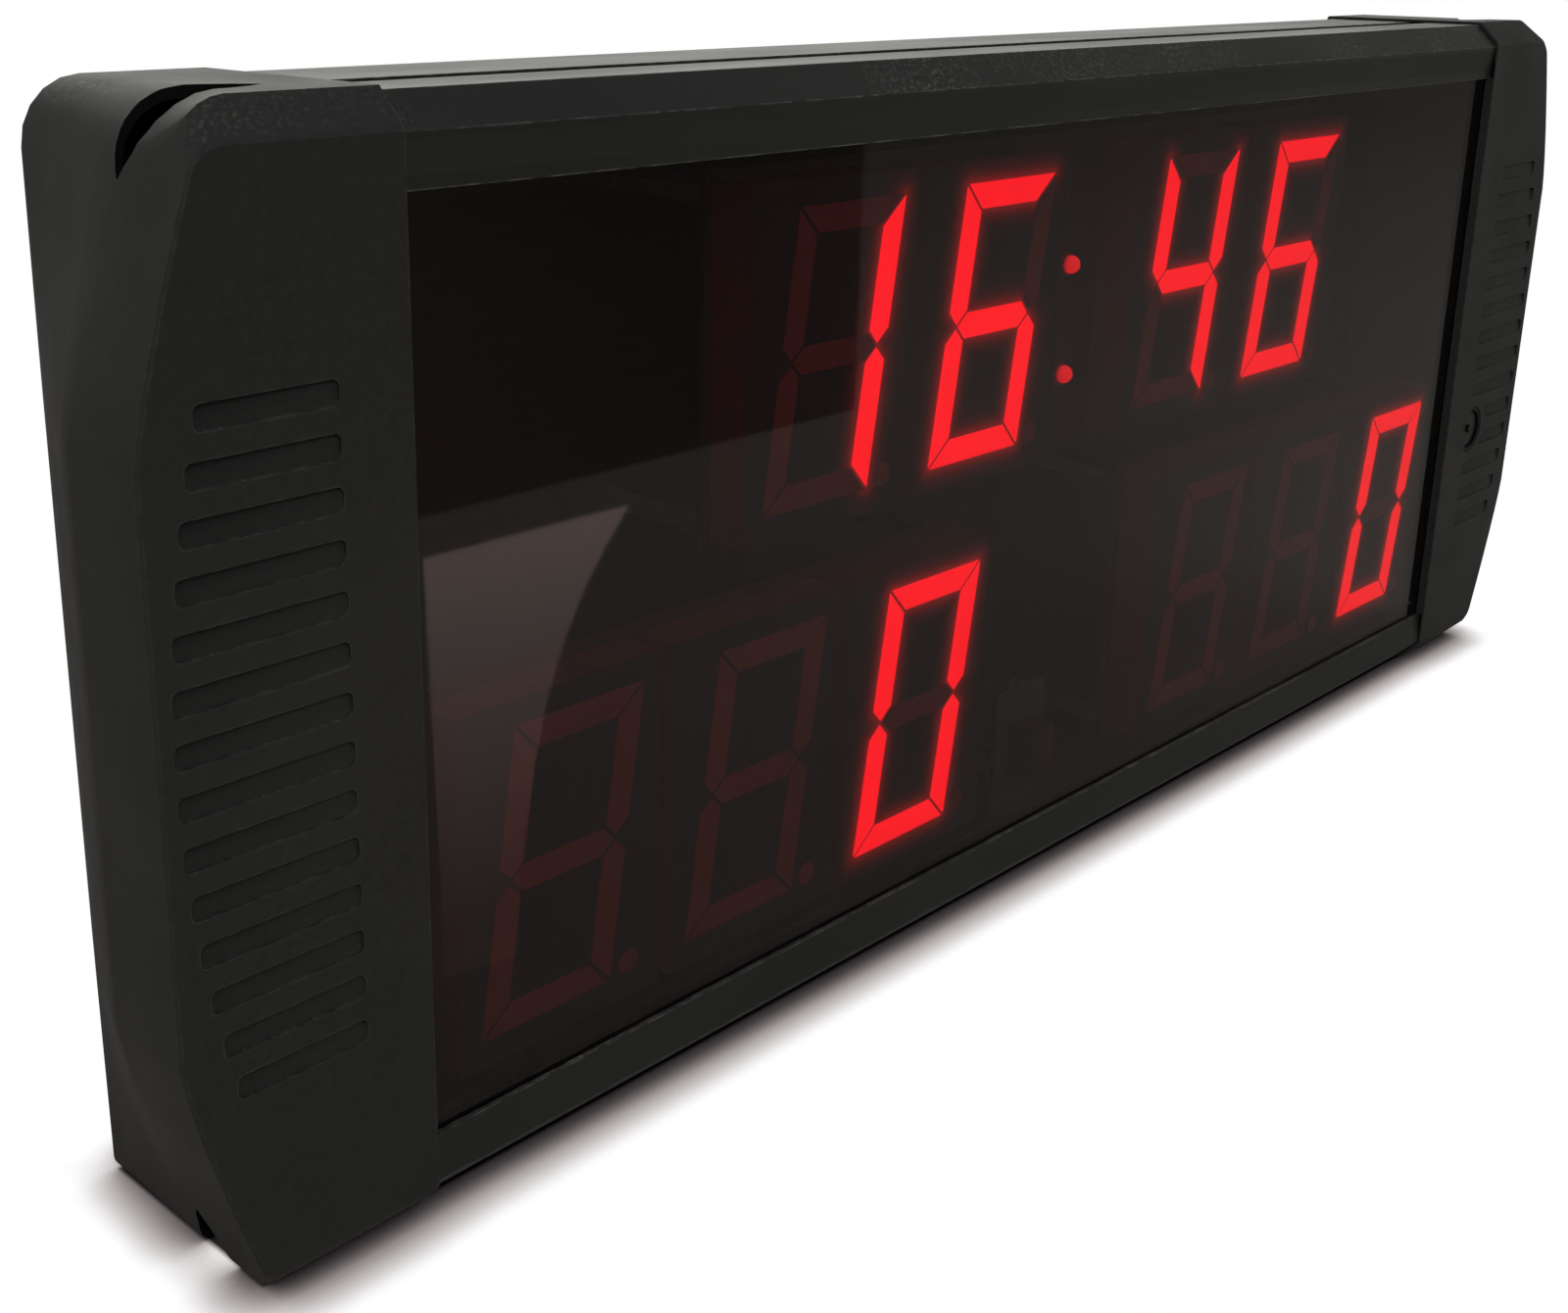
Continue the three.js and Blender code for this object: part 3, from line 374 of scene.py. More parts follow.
def soften(piece, width, segments=2):
    """Rounds the sharp edges."""
    rounding = piece.modifiers.new("round", "BEVEL")
    rounding.width = width
    rounding.segments = segments
    rounding.limit_method = "ANGLE"
    rounding.angle_limit = sharp_from
    rounding.use_clamp_overlap = True
    bake_modifiers(piece)


def shade_smooth(piece, limit=smooth_below):
    """Shades a piece smooth, but for edges that turn more than the limit."""
    work = bmesh.new()
    work.from_mesh(piece.data)
    for face in work.faces:
        face.smooth = True
    for edge in work.edges:
        edge.smooth = len(edge.link_faces) == 2 and edge.calc_face_angle(0) < limit
    work.to_mesh(piece.data)
    work.free()
    even = piece.modifiers.new("even", "WEIGHTED_NORMAL")
    even.keep_sharp = True
    bake_modifiers(piece)


moulded, tree, body = new_finish("spark_eroded_abs", Metallic=0.0, IOR=1.5)
spark = noise_range(tree, 2300.0, detail=2.0)
pebble = noise_range(tree, 620.0)
color = mottled(tree, 15.0, (0.0105, 0.0108, 0.0103), (0.0145, 0.0148, 0.014), detail=4.0)
color = blend_color(tree, pebble, color, (0.0165, 0.0168, 0.016))
# The caps' edges are painted lighter, partly as polish wear and partly as painted sheen.
color = blend_color(tree, group_mask(tree, wear_and_highlight_group, Width=0.0008), color, (0.038, 0.038, 0.036))
# Painted shade: the grip pockets' floors are darkened where they are deepest, at their tops and left ends.
pocket_painted_shade = step(tree, "ShaderNodeAttribute", attribute_name="pocket_painted_shade").outputs["Fac"]
color = blend_color(tree, pocket_painted_shade, color, (0.0068, 0.007, 0.0068))
color = blend_color(tree, group_mask(tree, dust_group, Patch_Scale=35.0), color, (0.09, 0.088, 0.08))
feed(tree, body, Base_Color=color, Roughness=noise_range(tree, 40.0, 0.46, 0.56, detail=5.0),
     Normal=relief(tree, math_step(tree, "ADD", spark, pebble), strength=0.25, distance=0.00004))
# Painted shade: the crescents' inner walls get this near-black material in place of the shade inside the
# openings.
crescent_shade_wall, tree, body = new_finish("crescent_wall_painted_shade", Metallic=0.0, IOR=1.3)
feed(tree, body, Base_Color=mottled(tree, 60.0, (0.0028, 0.0028, 0.0032), (0.004, 0.004, 0.0044)),
     Roughness=noise_range(tree, 90.0, 0.75, 0.9))
pocket_depth, pocket_area, pocket_margin = 0.0014, 0.000012, 0.0007
pocket_foot, pocket_climb, pocket_reach = 0.25, 0.4, 0.35
pocket_shade_power = 2.5


def scoop_pockets(cap, front):
    """Tilts the floor of each grip pocket, deepest at its top and at its left end, and paints shade there,
    darkest where it is deepest.
    """
    pocket_painted_shade = cap.data.attributes.new("pocket_painted_shade", "FLOAT", "POINT")
    floors = []
    for face in cap.data.polygons:
        on_floor = face.normal.y < -square_on and abs(face.center.y - front - pocket_depth) < level_gap
        if on_floor and face.area > pocket_area:
            corners = [cap.data.vertices[i].co for i in face.vertices]
            xs, zs = [corner.x for corner in corners], [corner.z for corner in corners]
            floors.append((min(xs), max(xs), min(zs), max(zs)))
    for vert in cap.data.vertices:
        deep = vert.co.y - front
        if not weld_gap < deep < pocket_depth + level_gap:
            continue
        for left, right, foot, top in floors:
            if (left - pocket_margin < vert.co.x < right + pocket_margin
                    and foot - pocket_margin < vert.co.z < top + pocket_margin):
                leftward = min(max((right - vert.co.x) / (right - left), 0), 1)
                climbed = min(max((vert.co.z - foot) / (top - foot), 0), 1)
                share = pocket_foot + pocket_climb * climbed + pocket_reach * leftward
                vert.co.y = front + deep * share
                pocket_painted_shade.data[vert.index].value = share ** pocket_shade_power
                break


crescent_along, crescent_down, crescent_front, crescent_rear = 0.0468, 0.02, 0.0165, 0.0313
chord_run, chord_rise = 0.031, 0.016
nearly_square = 0.06


def darken_crescents(cap, low, high):
    """Gives the crescents' walls a near-black material that paints the shade inside the openings; they run
    square to the line between the tips.
    """
    end = max(abs(low.x), abs(high.x))
    for face in cap.data.polygons:
        middle = face.center
        down = min(middle.z - low.z, high.z - middle.z)
        in_depth = crescent_front < middle.y - low.y < crescent_rear
        if in_depth and down < crescent_down and abs(middle.x) > end - crescent_along:
            rise = math.copysign(chord_run, middle.z - high.z / 2)
            cut = Vector((math.copysign(chord_rise, middle.x), 0, rise)).normalized()
            if abs(face.normal.dot(cut)) < nearly_square:
                face.material_index = 1


for side in ("left", "right"):
    low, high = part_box(side + "_end_cap")
    cap = merged_copy(side + "_end_cap", side + "_cap_moulding")
    soften(cap, edge_round)
    scoop_pockets(cap, low.y)
    shade_smooth(cap)
    cap.data.materials.clear()
    cap.data.materials.append(moulded)
    cap.data.materials.append(crescent_shade_wall)
    darken_crescents(cap, low, high)
    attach(cap, "housing")
    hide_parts(side + "_end_cap")


# Window. A sheet of smoked acrylic with a red cast, polished on both faces, that slides in the rails' front
# grooves. Light from the lamps passes it in shadow rays, so the display behind it is lit.
smoke = (0.40, 0.32, 0.31)
smoke_shade = (0.30, 0.24, 0.23, 1)
streak_gain = 1.04
acrylic, tree, body = new_finish("smoked_acrylic", Metallic=0.0, IOR=1.49, Transmission_Weight=1.0)
color = mottled(tree, 5.0, smoke, [share * streak_gain for share in smoke], stretch=(1, 1, 2.5))
feed(tree, body, Base_Color=color,
     Roughness=noise_range(tree, 9.0, 0.014, 0.036, stretch=(1, 1, 1.6), detail=2.0))
shadow_ray = step(tree, "ShaderNodeLightPath").outputs["Is Shadow Ray"]
passing = step(tree, "ShaderNodeBsdfTransparent", {"Color": smoke_shade})
mixed = step(tree, "ShaderNodeMixShader", {0: shadow_ray, 1: body.outputs[0], 2: passing.outputs[0]})
tree.links.new(mixed.outputs[0], tree.nodes["Material Output"].inputs["Surface"])
dress("window_panel", acrylic)


# Display modules. Each has a dark red case cast full of resin, a matt black face film, and seven mitred light
# bars and a point that show red when lit. The time reads 16 46 and each team's last figure shows nought.
bars_of = {"0": "abcdef", "1": "bc", "4": "fgbc", "6": "acdefg"}
shown_figures = {"time_digit_1": "1", "time_digit_2": "6", "time_digit_3": "4", "time_digit_4": "6",
                 "home_digit_3": "0", "guest_digit_3": "0"}
lean = 0.155
figure_half_width, figure_half_height = 0.021, 0.0387
point_share, crossbar_share = 1.1, 0.4
segment_relief = 0.0004
reader_side = -0.9
film_step = 0.0015
film_thickness = 0.00008
film_lift = 0.00003
glow_peak, glow_reach, glow_lengths = 0.5, 0.0017, 5

case_finish, tree, body = new_finish("dark_red_case", Metallic=0.0, IOR=1.5)
feed(tree, body, Base_Color=mottled(tree, 90.0, (0.10, 0.013, 0.013), (0.13, 0.017, 0.017)),
     Roughness=noise_range(tree, 300.0, 0.42, 0.55))

# The face film's emission paints a red glow around the lit bars; elsewhere it is matt black.
film_finish, tree, body = new_finish("black_face_film", Metallic=0.0, IOR=1.45, Emission_Strength=1.0)
spill = step(tree, "ShaderNodeAttribute", attribute_name="glow").outputs["Fac"]
feed(tree, body, Base_Color=mottled(tree, 500.0, (0.011, 0.008, 0.008), (0.015, 0.011, 0.011)),
     Roughness=noise_range(tree, 700.0, 0.6, 0.75),
     Emission_Color=blend_color(tree, spill, (0, 0, 0), (1.0, 0.012, 0.02)))

dark_bar, tree, body = new_finish("unlit_bar", Metallic=0.0, IOR=1.5)
feed(tree, body, Base_Color=mottled(tree, 160.0, (0.16, 0.014, 0.018), (0.21, 0.018, 0.022)),
     Roughness=noise_range(tree, 400.0, 0.45, 0.6))

lit_bar, tree, body = new_finish("lit_bar", Metallic=0.0, IOR=1.5, Emission_Strength=2.6,
                                 Base_Color=(0.3, 0.01, 0.015, 1))
feed(tree, body, Emission_Color=mottled(tree, 110.0, (0.94, 0.0035, 0.013), (1.0, 0.0042, 0.016)),
     Roughness=noise_range(tree, 160.0, 0.3, 0.4))


def outline_distance(point, outline):
    """How far a point (x, z) is outside a closed outline; nought inside it."""
    inside, least = False, 1.0
    for a, b in zip(outline, outline[1:] + outline[:1]):
        if (a.y > point.y) != (b.y > point.y) and point.x < (b.x - a.x) * (point.y - a.y) / (b.y - a.y) + a.x:
            inside = not inside
        along = b - a
        share = max(0.0, min(1.0, (point - a).dot(along) / along.length_squared))
        least = min(least, (a + along * share - point).length)
    return 0.0 if inside else least


def bar_letter(place):
    """Which of the seven bars, or the point, has its middle at a place (x, z) from the figure's centre."""
    x = place.x - place.y * lean
    if x > figure_half_width * point_share:
        return "point"
    if abs(x) < figure_half_width * crossbar_share:
        return "a" if place.y > figure_half_height / 2 else "d" if place.y < -figure_half_height / 2 else "g"
    return ("b" if place.y > 0 else "c") if x > 0 else ("f" if place.y > 0 else "e")


def paint_bars(work, low, high, figure):
    """Gives each raised bar its lit or unlit material, and returns the outlines of the lit ones."""
    centre = Vector(((low.x + high.x) / 2, (low.z + high.z) / 2))
    lit_bars = []
    for face in list(work.faces):
        if face.normal.y > reader_side or face.calc_center_median().y > low.y + level_gap:
            continue
        corners = [Vector((vert.co.x, vert.co.z)) for vert in face.verts]
        middle = sum(corners, Vector((0, 0))) / len(corners)
        lit_here = bar_letter(middle - centre) in bars_of.get(figure, "")
        face.material_index = 2 if lit_here else 1
        for edge in face.edges:
            for flank in edge.link_faces:
                flank.material_index = face.material_index
        if lit_here:
            lit_bars.append(corners)
    return lit_bars


def lay_film(work, low, high, lit_bars):
    """Lays the face film, a closed sheet of small squares whose emission paints a red glow around the lit
    bars.
    """
    glow = work.verts.layers.float.new("glow")
    columns = round((high.x - low.x) / film_step)
    rows = round((high.z - low.z) / film_step)
    layers = []
    for back in (0, 1):
        y = low.y + segment_relief - film_lift - film_thickness * (1 - back)
        layers.append([])
        for j in range(rows + 1):
            layers[back].append([])
            for i in range(columns + 1):
                x = low.x + (high.x - low.x) * i / columns
                z = low.z + (high.z - low.z) * j / rows
                vert = work.verts.new((x, y, z))
                if lit_bars and not back:
                    gap = min(outline_distance(Vector((x, z)), bar) for bar in lit_bars)
                    near_bar = gap < glow_reach * glow_lengths
                    vert[glow] = glow_peak * math.exp(-gap / glow_reach) if near_bar else 0.0
                layers[back][j].append(vert)
    front, rear = layers
    squares = []
    for j in range(rows):
        for i in range(columns):
            squares.append((front[j][i], front[j][i + 1], front[j + 1][i + 1], front[j + 1][i]))
            squares.append((rear[j][i], rear[j + 1][i], rear[j + 1][i + 1], rear[j][i + 1]))
    for i in range(columns):
        squares.append((front[0][i], rear[0][i], rear[0][i + 1], front[0][i + 1]))
        squares.append((front[rows][i], front[rows][i + 1], rear[rows][i + 1], rear[rows][i]))
    for j in range(rows):
        squares.append((front[j][0], front[j + 1][0], rear[j + 1][0], rear[j][0]))
        squares.append((front[j][columns], rear[j][columns], rear[j + 1][columns], front[j + 1][columns]))
    for corners in squares:
        work.faces.new(corners).material_index = 3


def make_module(node_name, figure):
    low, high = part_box(node_name)
    piece = merged_copy(node_name, node_name + "_module")
    work = bmesh.new()
    work.from_mesh(piece.data)
    lit_bars = paint_bars(work, low, high, figure)
    lay_film(work, low, high, lit_bars)
    work.to_mesh(piece.data)
    work.free()
    for material in (case_finish, dark_bar, lit_bar, film_finish):
        piece.data.materials.append(material)
    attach(piece, "housing")
    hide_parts(node_name)


for row, count in (("time", 4), ("home", 3), ("guest", 3)):
    for number in range(1, count + 1):
        name = "%s_digit_%d" % (row, number)
        make_module(name, shown_figures.get(name, ""))


# Colon lamps and receiver. Two red clear lamps blink between hours and minutes; the dark block low in the
# middle is the remote control's receiver, a filter-red resin body with a dome in front of its cell.
glow_depth, full_glow = 0.0037, 0.6
lamp_lens, tree, body = new_finish("red_lamp_lens", Metallic=0.0, IOR=1.5, Emission_Strength=1.55)
tip_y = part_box("colon_lamp_upper")[0].y
depth = axis_value(tree, object_place(tree), "Y")
at_tip = mapped(tree, depth, tip_y + glow_depth * full_glow, tip_y + glow_depth, 1.0, 0.0)
hot = mottled(tree, 420.0, (0.9, 0.006, 0.014), (1.0, 0.008, 0.018))
feed(tree, body, Emission_Color=blend_color(tree, at_tip, (0.012, 0.0004, 0.0006), hot),
     Base_Color=blend_color(tree, at_tip, (0.03, 0.006, 0.007), (0.3, 0.01, 0.015)),
     Roughness=noise_range(tree, 200.0, 0.15, 0.25))
for name in ("colon_lamp_upper", "colon_lamp_lower"):
    dress(name, lamp_lens)

filter_resin, tree, body = new_finish("filter_resin", Metallic=0.0, IOR=1.55)
feed(tree, body, Base_Color=mottled(tree, 260.0, (0.022, 0.004, 0.006), (0.034, 0.006, 0.008)),
     Roughness=noise_range(tree, 500.0, 0.12, 0.22))
dress("ir_receiver", filter_resin)
dome_radius, dome_sunk, dome_rings, dome_sides = 0.0034, 0.2, 16, 32
low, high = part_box("ir_receiver")
dome_place = ((low.x + high.x) / 2, low.y + dome_radius * dome_sunk, (low.z + high.z) / 2)
work = bmesh.new()
bmesh.ops.create_uvsphere(work, u_segments=dome_sides, v_segments=dome_rings, radius=dome_radius)
bmesh.ops.translate(work, verts=work.verts, vec=dome_place)
for face in work.faces:
    face.smooth = True
dome = new_piece("receiver_dome", work, filter_resin)
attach(dome, "housing")


# Circuit boards. Glass-filled laminate under solder mask, red behind the figures and green elsewhere, with
# tracks that show as slightly raised lines. They stand on hexagonal posts screwed to the back panel.
weave_shade = 0.6


def masked_board(name, mask_color, track_color):
    """A board's finish: its solder mask, lighter over the tracks."""
    finish, tree, body = new_finish(name, Metallic=0.0, IOR=1.5)
    spot = step(tree, "ShaderNodeMapping", {"Vector": object_place(tree), "Rotation": (math.pi / 2, 0, 0)})
    tracks = step(tree, "ShaderNodeTexBrick", {
        "Vector": spot.outputs[0], "Scale": 60.0, "Mortar Size": 0.012, "Mortar Smooth": 0.1,
        "Color1": (0, 0, 0, 1), "Color2": (0, 0, 0, 1), "Mortar": (1, 1, 1, 1)}).outputs["Fac"]
    color = blend_color(tree, tracks, mask_color, track_color)
    shaded = [share * weave_shade for share in mask_color]
    color = blend_color(tree, noise_range(tree, 1400.0, 0.0, 0.4), color, shaded)
    feed(tree, body, Base_Color=color, Roughness=noise_range(tree, 90.0, 0.28, 0.4),
         Normal=relief(tree, tracks, strength=0.4, distance=0.00004))
    return finish


red_mask = masked_board("red_masked_laminate", (0.035, 0.009, 0.010), (0.055, 0.014, 0.015))
green_mask = masked_board("green_masked_laminate", (0.035, 0.085, 0.04), (0.06, 0.14, 0.065))
for name in ("time_board", "home_board", "guest_board"):
    dress(name, red_mask)
for name in ("ir_board", "control_board", "key_board"):
    dress(name, green_mask)


# Posts, hangers and nut. Zinc plated steel with a clear bluish passivation; the hangers are punched and
# riveted to the top rail's rear wall, two rivets each.
zinc, tree, body = new_finish("zinc_plate", Metallic=1.0)
color = mottled(tree, 240.0, (0.52, 0.53, 0.54), (0.66, 0.66, 0.64), detail=5.0)
color = blend_color(tree, group_mask(tree, wear_and_highlight_group, Width=0.0004), color, (0.78, 0.77, 0.74))
feed(tree, body, Base_Color=color, Roughness=noise_range(tree, 150.0, 0.3, 0.46, detail=5.0),
     Normal=relief(tree, noise_range(tree, 1500.0), strength=0.25, distance=0.00002))
for name in nodes:
    if "_standoff_" in name or name in ("hanger_left", "hanger_right", "inlet_nut"):
        dress(name, zinc)


def new_geometry_tree(name, inputs):
    """A Geometry Nodes tree with named inputs; returns it with its two ends and the inputs' identifiers."""
    tree = bpy.data.node_groups.new(name, "GeometryNodeTree")
    tree.interface.new_socket("Geometry", in_out="INPUT", socket_type="NodeSocketGeometry")
    keys = {}
    for label, kind in inputs.items():
        keys[label] = tree.interface.new_socket(label, in_out="INPUT", socket_type=kind).identifier
    tree.interface.new_socket("Geometry", in_out="OUTPUT", socket_type="NodeSocketGeometry")
    return tree, tree.nodes.new("NodeGroupInput"), tree.nodes.new("NodeGroupOutput"), keys


def copies_at_points(tree, entry, leave, inputs):
    """Ends a tree: a copy of the shape on each point, made real and given its finish."""
    copies = step(tree, "GeometryNodeInstanceOnPoints", {"Points": entry.outputs["Geometry"], **inputs})
    real = step(tree, "GeometryNodeRealizeInstances", {"Geometry": copies.outputs[0]})
    finished = step(tree, "GeometryNodeSetMaterial", {
        "Geometry": real.outputs[0], "Material": entry.outputs["Finish"]})
    tree.links.new(finished.outputs[0], leave.inputs["Geometry"])


def scatter(name, places, tree, keys, values):
    """Runs a tree on a cloud of places and keeps the result as a plain piece."""
    mesh = bpy.data.meshes.new(name)
    mesh.from_pydata(places, [], [])
    piece = bpy.data.objects.new(name, mesh)
    bpy.context.collection.objects.link(piece)
    growth = piece.modifiers.new(name, "NODES")
    growth.node_group = tree
    for label, value in values.items():
        growth[keys[label]] = value
    bake_modifiers(piece)
    return piece


rivet_tree, entry, leave, keys = new_geometry_tree("rivet_heads", {
    "Radius": "NodeSocketFloat", "Crown": "NodeSocketFloat", "Finish": "NodeSocketMaterial"})
ball = step(rivet_tree, "GeometryNodeMeshUVSphere", {
    "Segments": 28, "Rings": 14, "Radius": entry.outputs["Radius"]})
squash = math_step(rivet_tree, "DIVIDE", entry.outputs["Crown"], entry.outputs["Radius"])
flat = step(rivet_tree, "ShaderNodeCombineXYZ", {"X": 1.0, "Y": squash, "Z": 1.0})
head = step(rivet_tree, "GeometryNodeTransform", {"Geometry": ball.outputs["Mesh"], "Scale": flat.outputs[0]})
rounded = step(rivet_tree, "GeometryNodeSetShadeSmooth", {"Geometry": head.outputs[0]})
copies_at_points(rivet_tree, entry, leave, {"Instance": rounded.outputs[0]})
rivet_radius, rivet_crown = 0.0026, 0.0011
rivet_spread, rivet_drop = 0.012, 0.0075
places = []
for name in ("hanger_left", "hanger_right"):
    low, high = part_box(name)
    for side in (-1, 1):
        places.append(((low.x + high.x) / 2 + side * rivet_spread, high.y, high.z - rivet_drop))
rivets = scatter("hanger_rivets", places, rivet_tree, keys, {
    "Radius": rivet_radius, "Crown": rivet_crown, "Finish": zinc})
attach(rivets, "housing")


# Cap screws. Four self-tapping pan heads with a cross recess, zinc plated, each sunk in its counterbore
# behind a cap. The recess is cut by two crossed bars, and each screw is turned to its own angle.
head_height, shank_radius = 0.002, 0.0015
crown_power, crown_drop = 1.6, 0.38
recess_long, recess_wide, recess_tall = 1.15, 0.26, 1.1
screw_tree, entry, leave, keys = new_geometry_tree("cross_screws", {
    "Head Radius": "NodeSocketFloat", "Head Height": "NodeSocketFloat", "Shank Radius": "NodeSocketFloat",
    "Shank Length": "NodeSocketFloat", "Seed": "NodeSocketInt", "Finish": "NodeSocketMaterial"})
radius, tall = entry.outputs["Head Radius"], entry.outputs["Head Height"]


def screw_math(operation, first, second):
    return math_step(screw_tree, operation, first, second)


def screw_vector(**axes):
    return step(screw_tree, "ShaderNodeCombineXYZ", axes).outputs[0]


def moved(mesh, place):
    return step(screw_tree, "GeometryNodeTransform", {"Geometry": mesh, "Translation": place}).outputs[0]


drum = step(screw_tree, "GeometryNodeMeshCylinder", {
    "Vertices": 40, "Side Segments": 3, "Fill Segments": 5, "Radius": radius, "Depth": tall})
position = step(screw_tree, "GeometryNodeInputPosition").outputs[0]
at = step(screw_tree, "ShaderNodeSeparateXYZ", {0: position}).outputs
away = screw_math("ADD", screw_math("POWER", at["X"], 2.0), screw_math("POWER", at["Y"], 2.0))
away = screw_math("DIVIDE", away, screw_math("POWER", radius, 2.0))
sink = screw_math("MULTIPLY", screw_math("POWER", away, crown_power), tall)
sink = screw_math("MULTIPLY", sink, -crown_drop)
sink = screw_math("MULTIPLY", sink, screw_math("GREATER_THAN", at["Z"], 0.0))
domed = step(screw_tree, "GeometryNodeSetPosition", {
    "Geometry": drum.outputs["Mesh"], "Offset": screw_vector(Z=sink)})
slot_long = screw_math("MULTIPLY", radius, recess_long)
slot_wide = screw_math("MULTIPLY", radius, recess_wide)
slot_tall = screw_math("MULTIPLY", tall, recess_tall)
head_top = screw_vector(Z=screw_math("MULTIPLY", tall, 0.5))
cut = step(screw_tree, "GeometryNodeMeshBoolean", {"Mesh 1": domed.outputs[0]},
           operation="DIFFERENCE", solver="EXACT")
for x, y in ((slot_long, slot_wide), (slot_wide, slot_long)):
    bar = step(screw_tree, "GeometryNodeMeshCube", {"Size": screw_vector(X=x, Y=y, Z=slot_tall)})
    screw_tree.links.new(moved(bar.outputs["Mesh"], head_top), cut.inputs["Mesh 2"])
shank = step(screw_tree, "GeometryNodeMeshCylinder", {
    "Vertices": 24, "Radius": entry.outputs["Shank Radius"], "Depth": entry.outputs["Shank Length"]})
below = screw_math("MULTIPLY", screw_math("ADD", entry.outputs["Shank Length"], tall), -0.5)
whole = step(screw_tree, "GeometryNodeJoinGeometry")
screw_tree.links.new(cut.outputs["Mesh"], whole.inputs[0])
screw_tree.links.new(moved(shank.outputs["Mesh"], screw_vector(Z=below)), whole.inputs[0])
twist = step(screw_tree, "FunctionNodeRandomValue", {"Seed": entry.outputs["Seed"]}, data_type="FLOAT")
twist.inputs[2].default_value = 0.0
twist.inputs[3].default_value = math.pi / 2
facing_back = step(screw_tree, "FunctionNodeRotateEuler", {
    0: (-math.pi / 2, 0.0, 0.0), "Rotate By": screw_vector(Z=twist.outputs[1])},
    rotation_type="EULER", space="LOCAL")
copies_at_points(screw_tree, entry, leave, {"Instance": whole.outputs[0], "Rotation": facing_back.outputs[0]})
screw_names = ["cap_screw_%s_%s" % (side, end) for side in ("left", "right") for end in ("lower", "upper")]
places = []
for name in screw_names:
    low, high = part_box(name)
    places.append(((low.x + high.x) / 2, high.y - head_height / 2, (low.z + high.z) / 2))
low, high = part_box(screw_names[0])
screws = scatter("cap_screws", places, screw_tree, keys, {
    "Head Radius": (high.x - low.x) / 2, "Head Height": head_height, "Shank Radius": shank_radius,
    "Shank Length": high.y - low.y - head_height, "Seed": 4, "Finish": zinc})
shade_smooth(screws, limit=math.radians(35))
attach(screws, "housing")
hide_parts(*screw_names)


# Back panel. A flat aluminium sheet, brushed along its length and black anodised. It is held in the rails'
# rear grooves, behind the boards.
brushed, tree, body = new_finish("brushed_black_panel", Metallic=0.0, IOR=1.55)
brush = noise_range(tree, 1.0, stretch=(14, 1800, 1800))
color = blend_color(tree, brush, (0.014, 0.0145, 0.014), (0.03, 0.031, 0.03))
color = blend_color(tree, group_mask(tree, wear_and_highlight_group, Width=0.0004), color, (0.2, 0.2, 0.19))
feed(tree, body, Base_Color=color, Roughness=noise_range(tree, 30.0, 0.34, 0.46, stretch=(0.3, 1, 1)),
     Normal=relief(tree, brush, strength=0.2, distance=0.00003))
dress("back_panel", brushed)


# Power inlet, switch and buzzer. Glass-filled nylon, black and slightly waxy; the inlet's pin is nickel
# plated brass and the rocker carries the two usual marks, pad printed in white.
nylon, tree, body = new_finish("black_nylon", Metallic=0.0, IOR=1.52)
color = mottled(tree, 70.0, (0.011, 0.011, 0.0115), (0.018, 0.018, 0.0185))
color = blend_color(tree, group_mask(tree, wear_and_highlight_group, Width=0.0003), color, (0.06, 0.06, 0.06))
feed(tree, body, Base_Color=color, Roughness=noise_range(tree, 220.0, 0.3, 0.42, detail=4.0),
     Normal=relief(tree, noise_range(tree, 1800.0), strength=0.2, distance=0.00003))
for name in ("dc_inlet", "switch_housing", "switch_rocker", "buzzer"):
    dress(name, nylon)


def lathe(name, profile, centre, sides, material):
    """A piece turned about a line along Y from (radius, depth) points; its ends close on the line."""
    work = bmesh.new()
    rings = []
    for radius, depth in profile:
        if radius == 0:
            rings.append([work.verts.new((centre[0], depth, centre[1]))])
            continue
        rings.append([])
        for i in range(sides):
            angle = i / sides * math.tau
            x, z = centre[0] + radius * math.cos(angle), centre[1] + radius * math.sin(angle)
            rings[-1].append(work.verts.new((x, depth, z)))
    for first, second in zip(rings, rings[1:]):
        for i in range(sides):
            j = (i + 1) % sides
            corners = [loop[k % len(loop)] for loop, k in ((first, i), (second, i), (second, j), (first, j))]
            work.faces.new(list(dict.fromkeys(corners)))
    bmesh.ops.recalc_face_normals(work, faces=work.faces)
    return new_piece(name, work, material)


nickel, tree, body = new_finish("nickel_plate", Metallic=1.0)
feed(tree, body, Base_Color=mottled(tree, 900.0, (0.62, 0.6, 0.55), (0.74, 0.72, 0.67)),
     Roughness=noise_range(tree, 500.0, 0.16, 0.26))
pin_radius, pin_back, pin_setback, pin_round = 0.00108, 0.0098, 0.0009, 0.0004
pin_sides, facet_share = 24, 0.3
low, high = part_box("dc_inlet")
tip = high.y - pin_setback
pin_profile = [
    (0, high.y - pin_back), (pin_radius, high.y - pin_back), (pin_radius, tip - pin_round),
    (pin_radius - pin_round * facet_share, tip - pin_round * facet_share),
    (pin_radius - pin_round, tip), (0, tip)]
pin = lathe("inlet_pin", pin_profile, ((low.x + high.x) / 2, (low.z + high.z) / 2), pin_sides, nickel)
shade_smooth(pin, limit=math.radians(50))
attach(pin, "housing")

print_white, tree, body = new_finish("pad_print", Metallic=0.0, IOR=1.45)
feed(tree, body, Base_Color=mottled(tree, 1500.0, (0.6, 0.6, 0.57), (0.74, 0.74, 0.71)),
     Roughness=noise_range(tree, 800.0, 0.4, 0.5))
mark_proud, mark_size, mark_line, mark_sides = 0.00004, 0.0017, 0.00035, 36
rear_side = 0.7


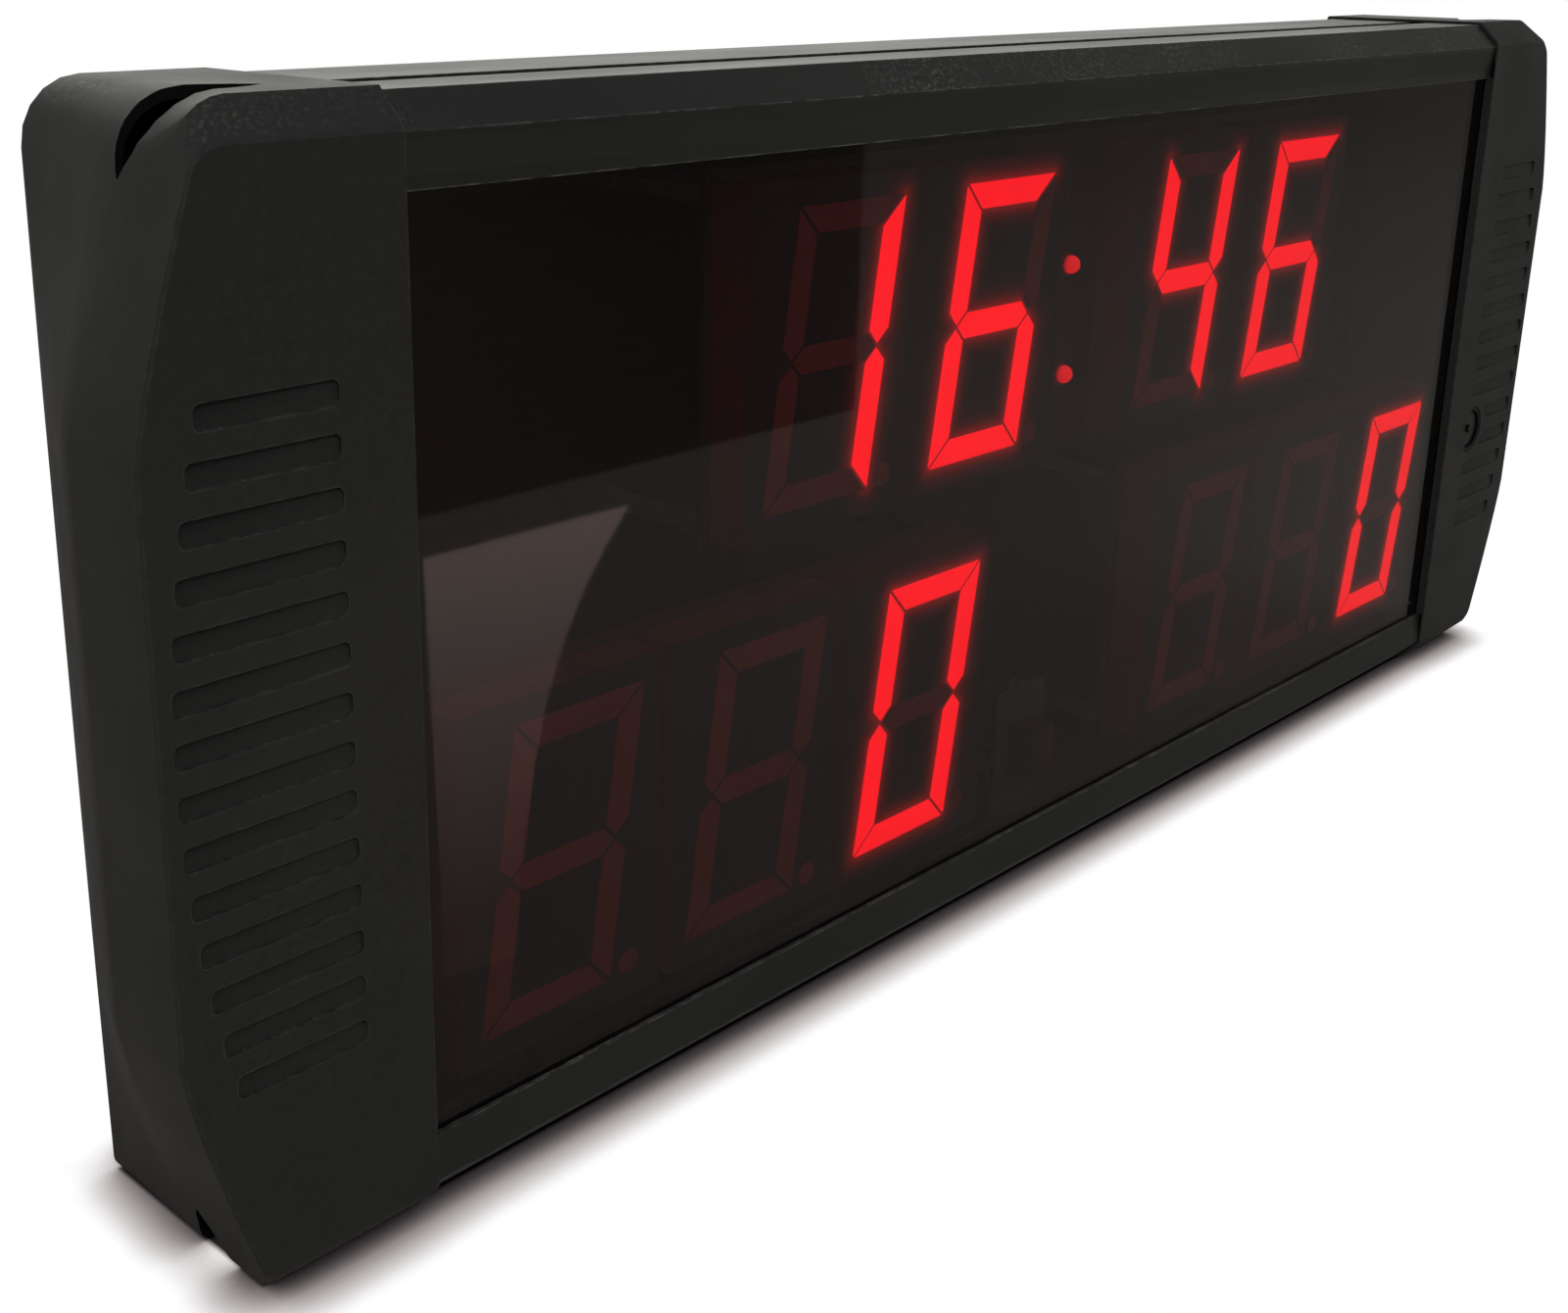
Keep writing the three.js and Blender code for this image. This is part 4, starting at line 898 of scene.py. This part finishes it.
def rocker_pads():
    """The middle and normal of the rocker's two rear faces, the lower one first."""
    work = bmesh.new()
    work.from_mesh(nodes["switch_rocker"].data)
    bmesh.ops.remove_doubles(work, verts=work.verts, dist=weld_gap)
    bmesh.ops.dissolve_limit(work, angle_limit=math.radians(0.5), verts=work.verts, edges=work.edges)
    rear = [face for face in work.faces if face.normal.y > rear_side]
    largest = sorted(rear, key=lambda face: -face.calc_area())[:2]
    pads = [(face.calc_center_bounds(), face.normal.copy()) for face in largest]
    work.free()
    return sorted(pads, key=lambda pad: pad[0].z)


def circle(radius, sides):
    turns = [i / sides * math.tau for i in range(sides)]
    return [(math.cos(turn) * radius, math.sin(turn) * radius) for turn in turns]


half_line = mark_line / 2
ring_loops = [circle(mark_size, mark_sides), circle(mark_size - mark_line, mark_sides)]
bar_loops = [[(-half_line, -mark_size), (half_line, -mark_size),
              (half_line, mark_size), (-half_line, mark_size)]]
sideways = Vector((1, 0, 0))
work = bmesh.new()
for (middle, normal), loops in zip(rocker_pads(), (ring_loops, bar_loops)):
    upward = normal.cross(sideways).normalized() * -1
    under, over = [
        [[work.verts.new(middle + sideways * x + upward * z + normal * lift) for x, z in loop]
         for loop in loops]
        for lift in (-mark_proud, mark_proud)]
    count = len(loops[0])
    for i in range(count):
        j = (i + 1) % count
        work.faces.new((under[0][i], under[0][j], over[0][j], over[0][i]))
        if len(loops) == 2:
            work.faces.new((under[1][j], under[1][i], over[1][i], over[1][j]))
            for layer in (under, over):
                work.faces.new((layer[0][i], layer[0][j], layer[1][j], layer[1][i]))
    if len(loops) == 1:
        for layer in (under, over):
            work.faces.new(layer[0])
bmesh.ops.recalc_face_normals(work, faces=work.faces)
marks = new_piece("rocker_marks", work, print_white)
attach(marks, "rocker")


# Push button. A disc in black rubbery plastic between the grip pockets, with a raised ring and a raised dot.
# The ring and the dot are darker than the rest of its face.
ring_middle, ring_half, dot_edge = 0.0079, 0.0012, 0.0018
rubbery, tree, body = new_finish("soft_black_button", Metallic=0.0, IOR=1.48)
color = mottled(tree, 120.0, (0.012, 0.012, 0.012), (0.018, 0.018, 0.0175))
color = blend_color(tree, group_mask(tree, wear_and_highlight_group, Width=0.0004), color, (0.07, 0.07, 0.068))
low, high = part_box("side_button")
away = vector_step(tree, "SUBTRACT", {0: object_place(tree), 1: (low + high) / 2})
away = vector_step(tree, "MULTIPLY", {0: away, 1: (1, 0, 1)})
away = vector_step(tree, "LENGTH", {0: away}, "Value")
ring = step(tree, "ShaderNodeMath", {0: away, 1: ring_middle, 2: ring_half}, operation="COMPARE").outputs[0]
marked = math_step(tree, "MAXIMUM", ring, math_step(tree, "LESS_THAN", away, dot_edge))
color = blend_color(tree, marked, color, (0.0025, 0.0025, 0.0025))
feed(tree, body, Base_Color=color, Roughness=noise_range(tree, 300.0, 0.38, 0.5),
     Normal=relief(tree, noise_range(tree, 2000.0), strength=0.3, distance=0.00004))
dress("side_button", rubbery)
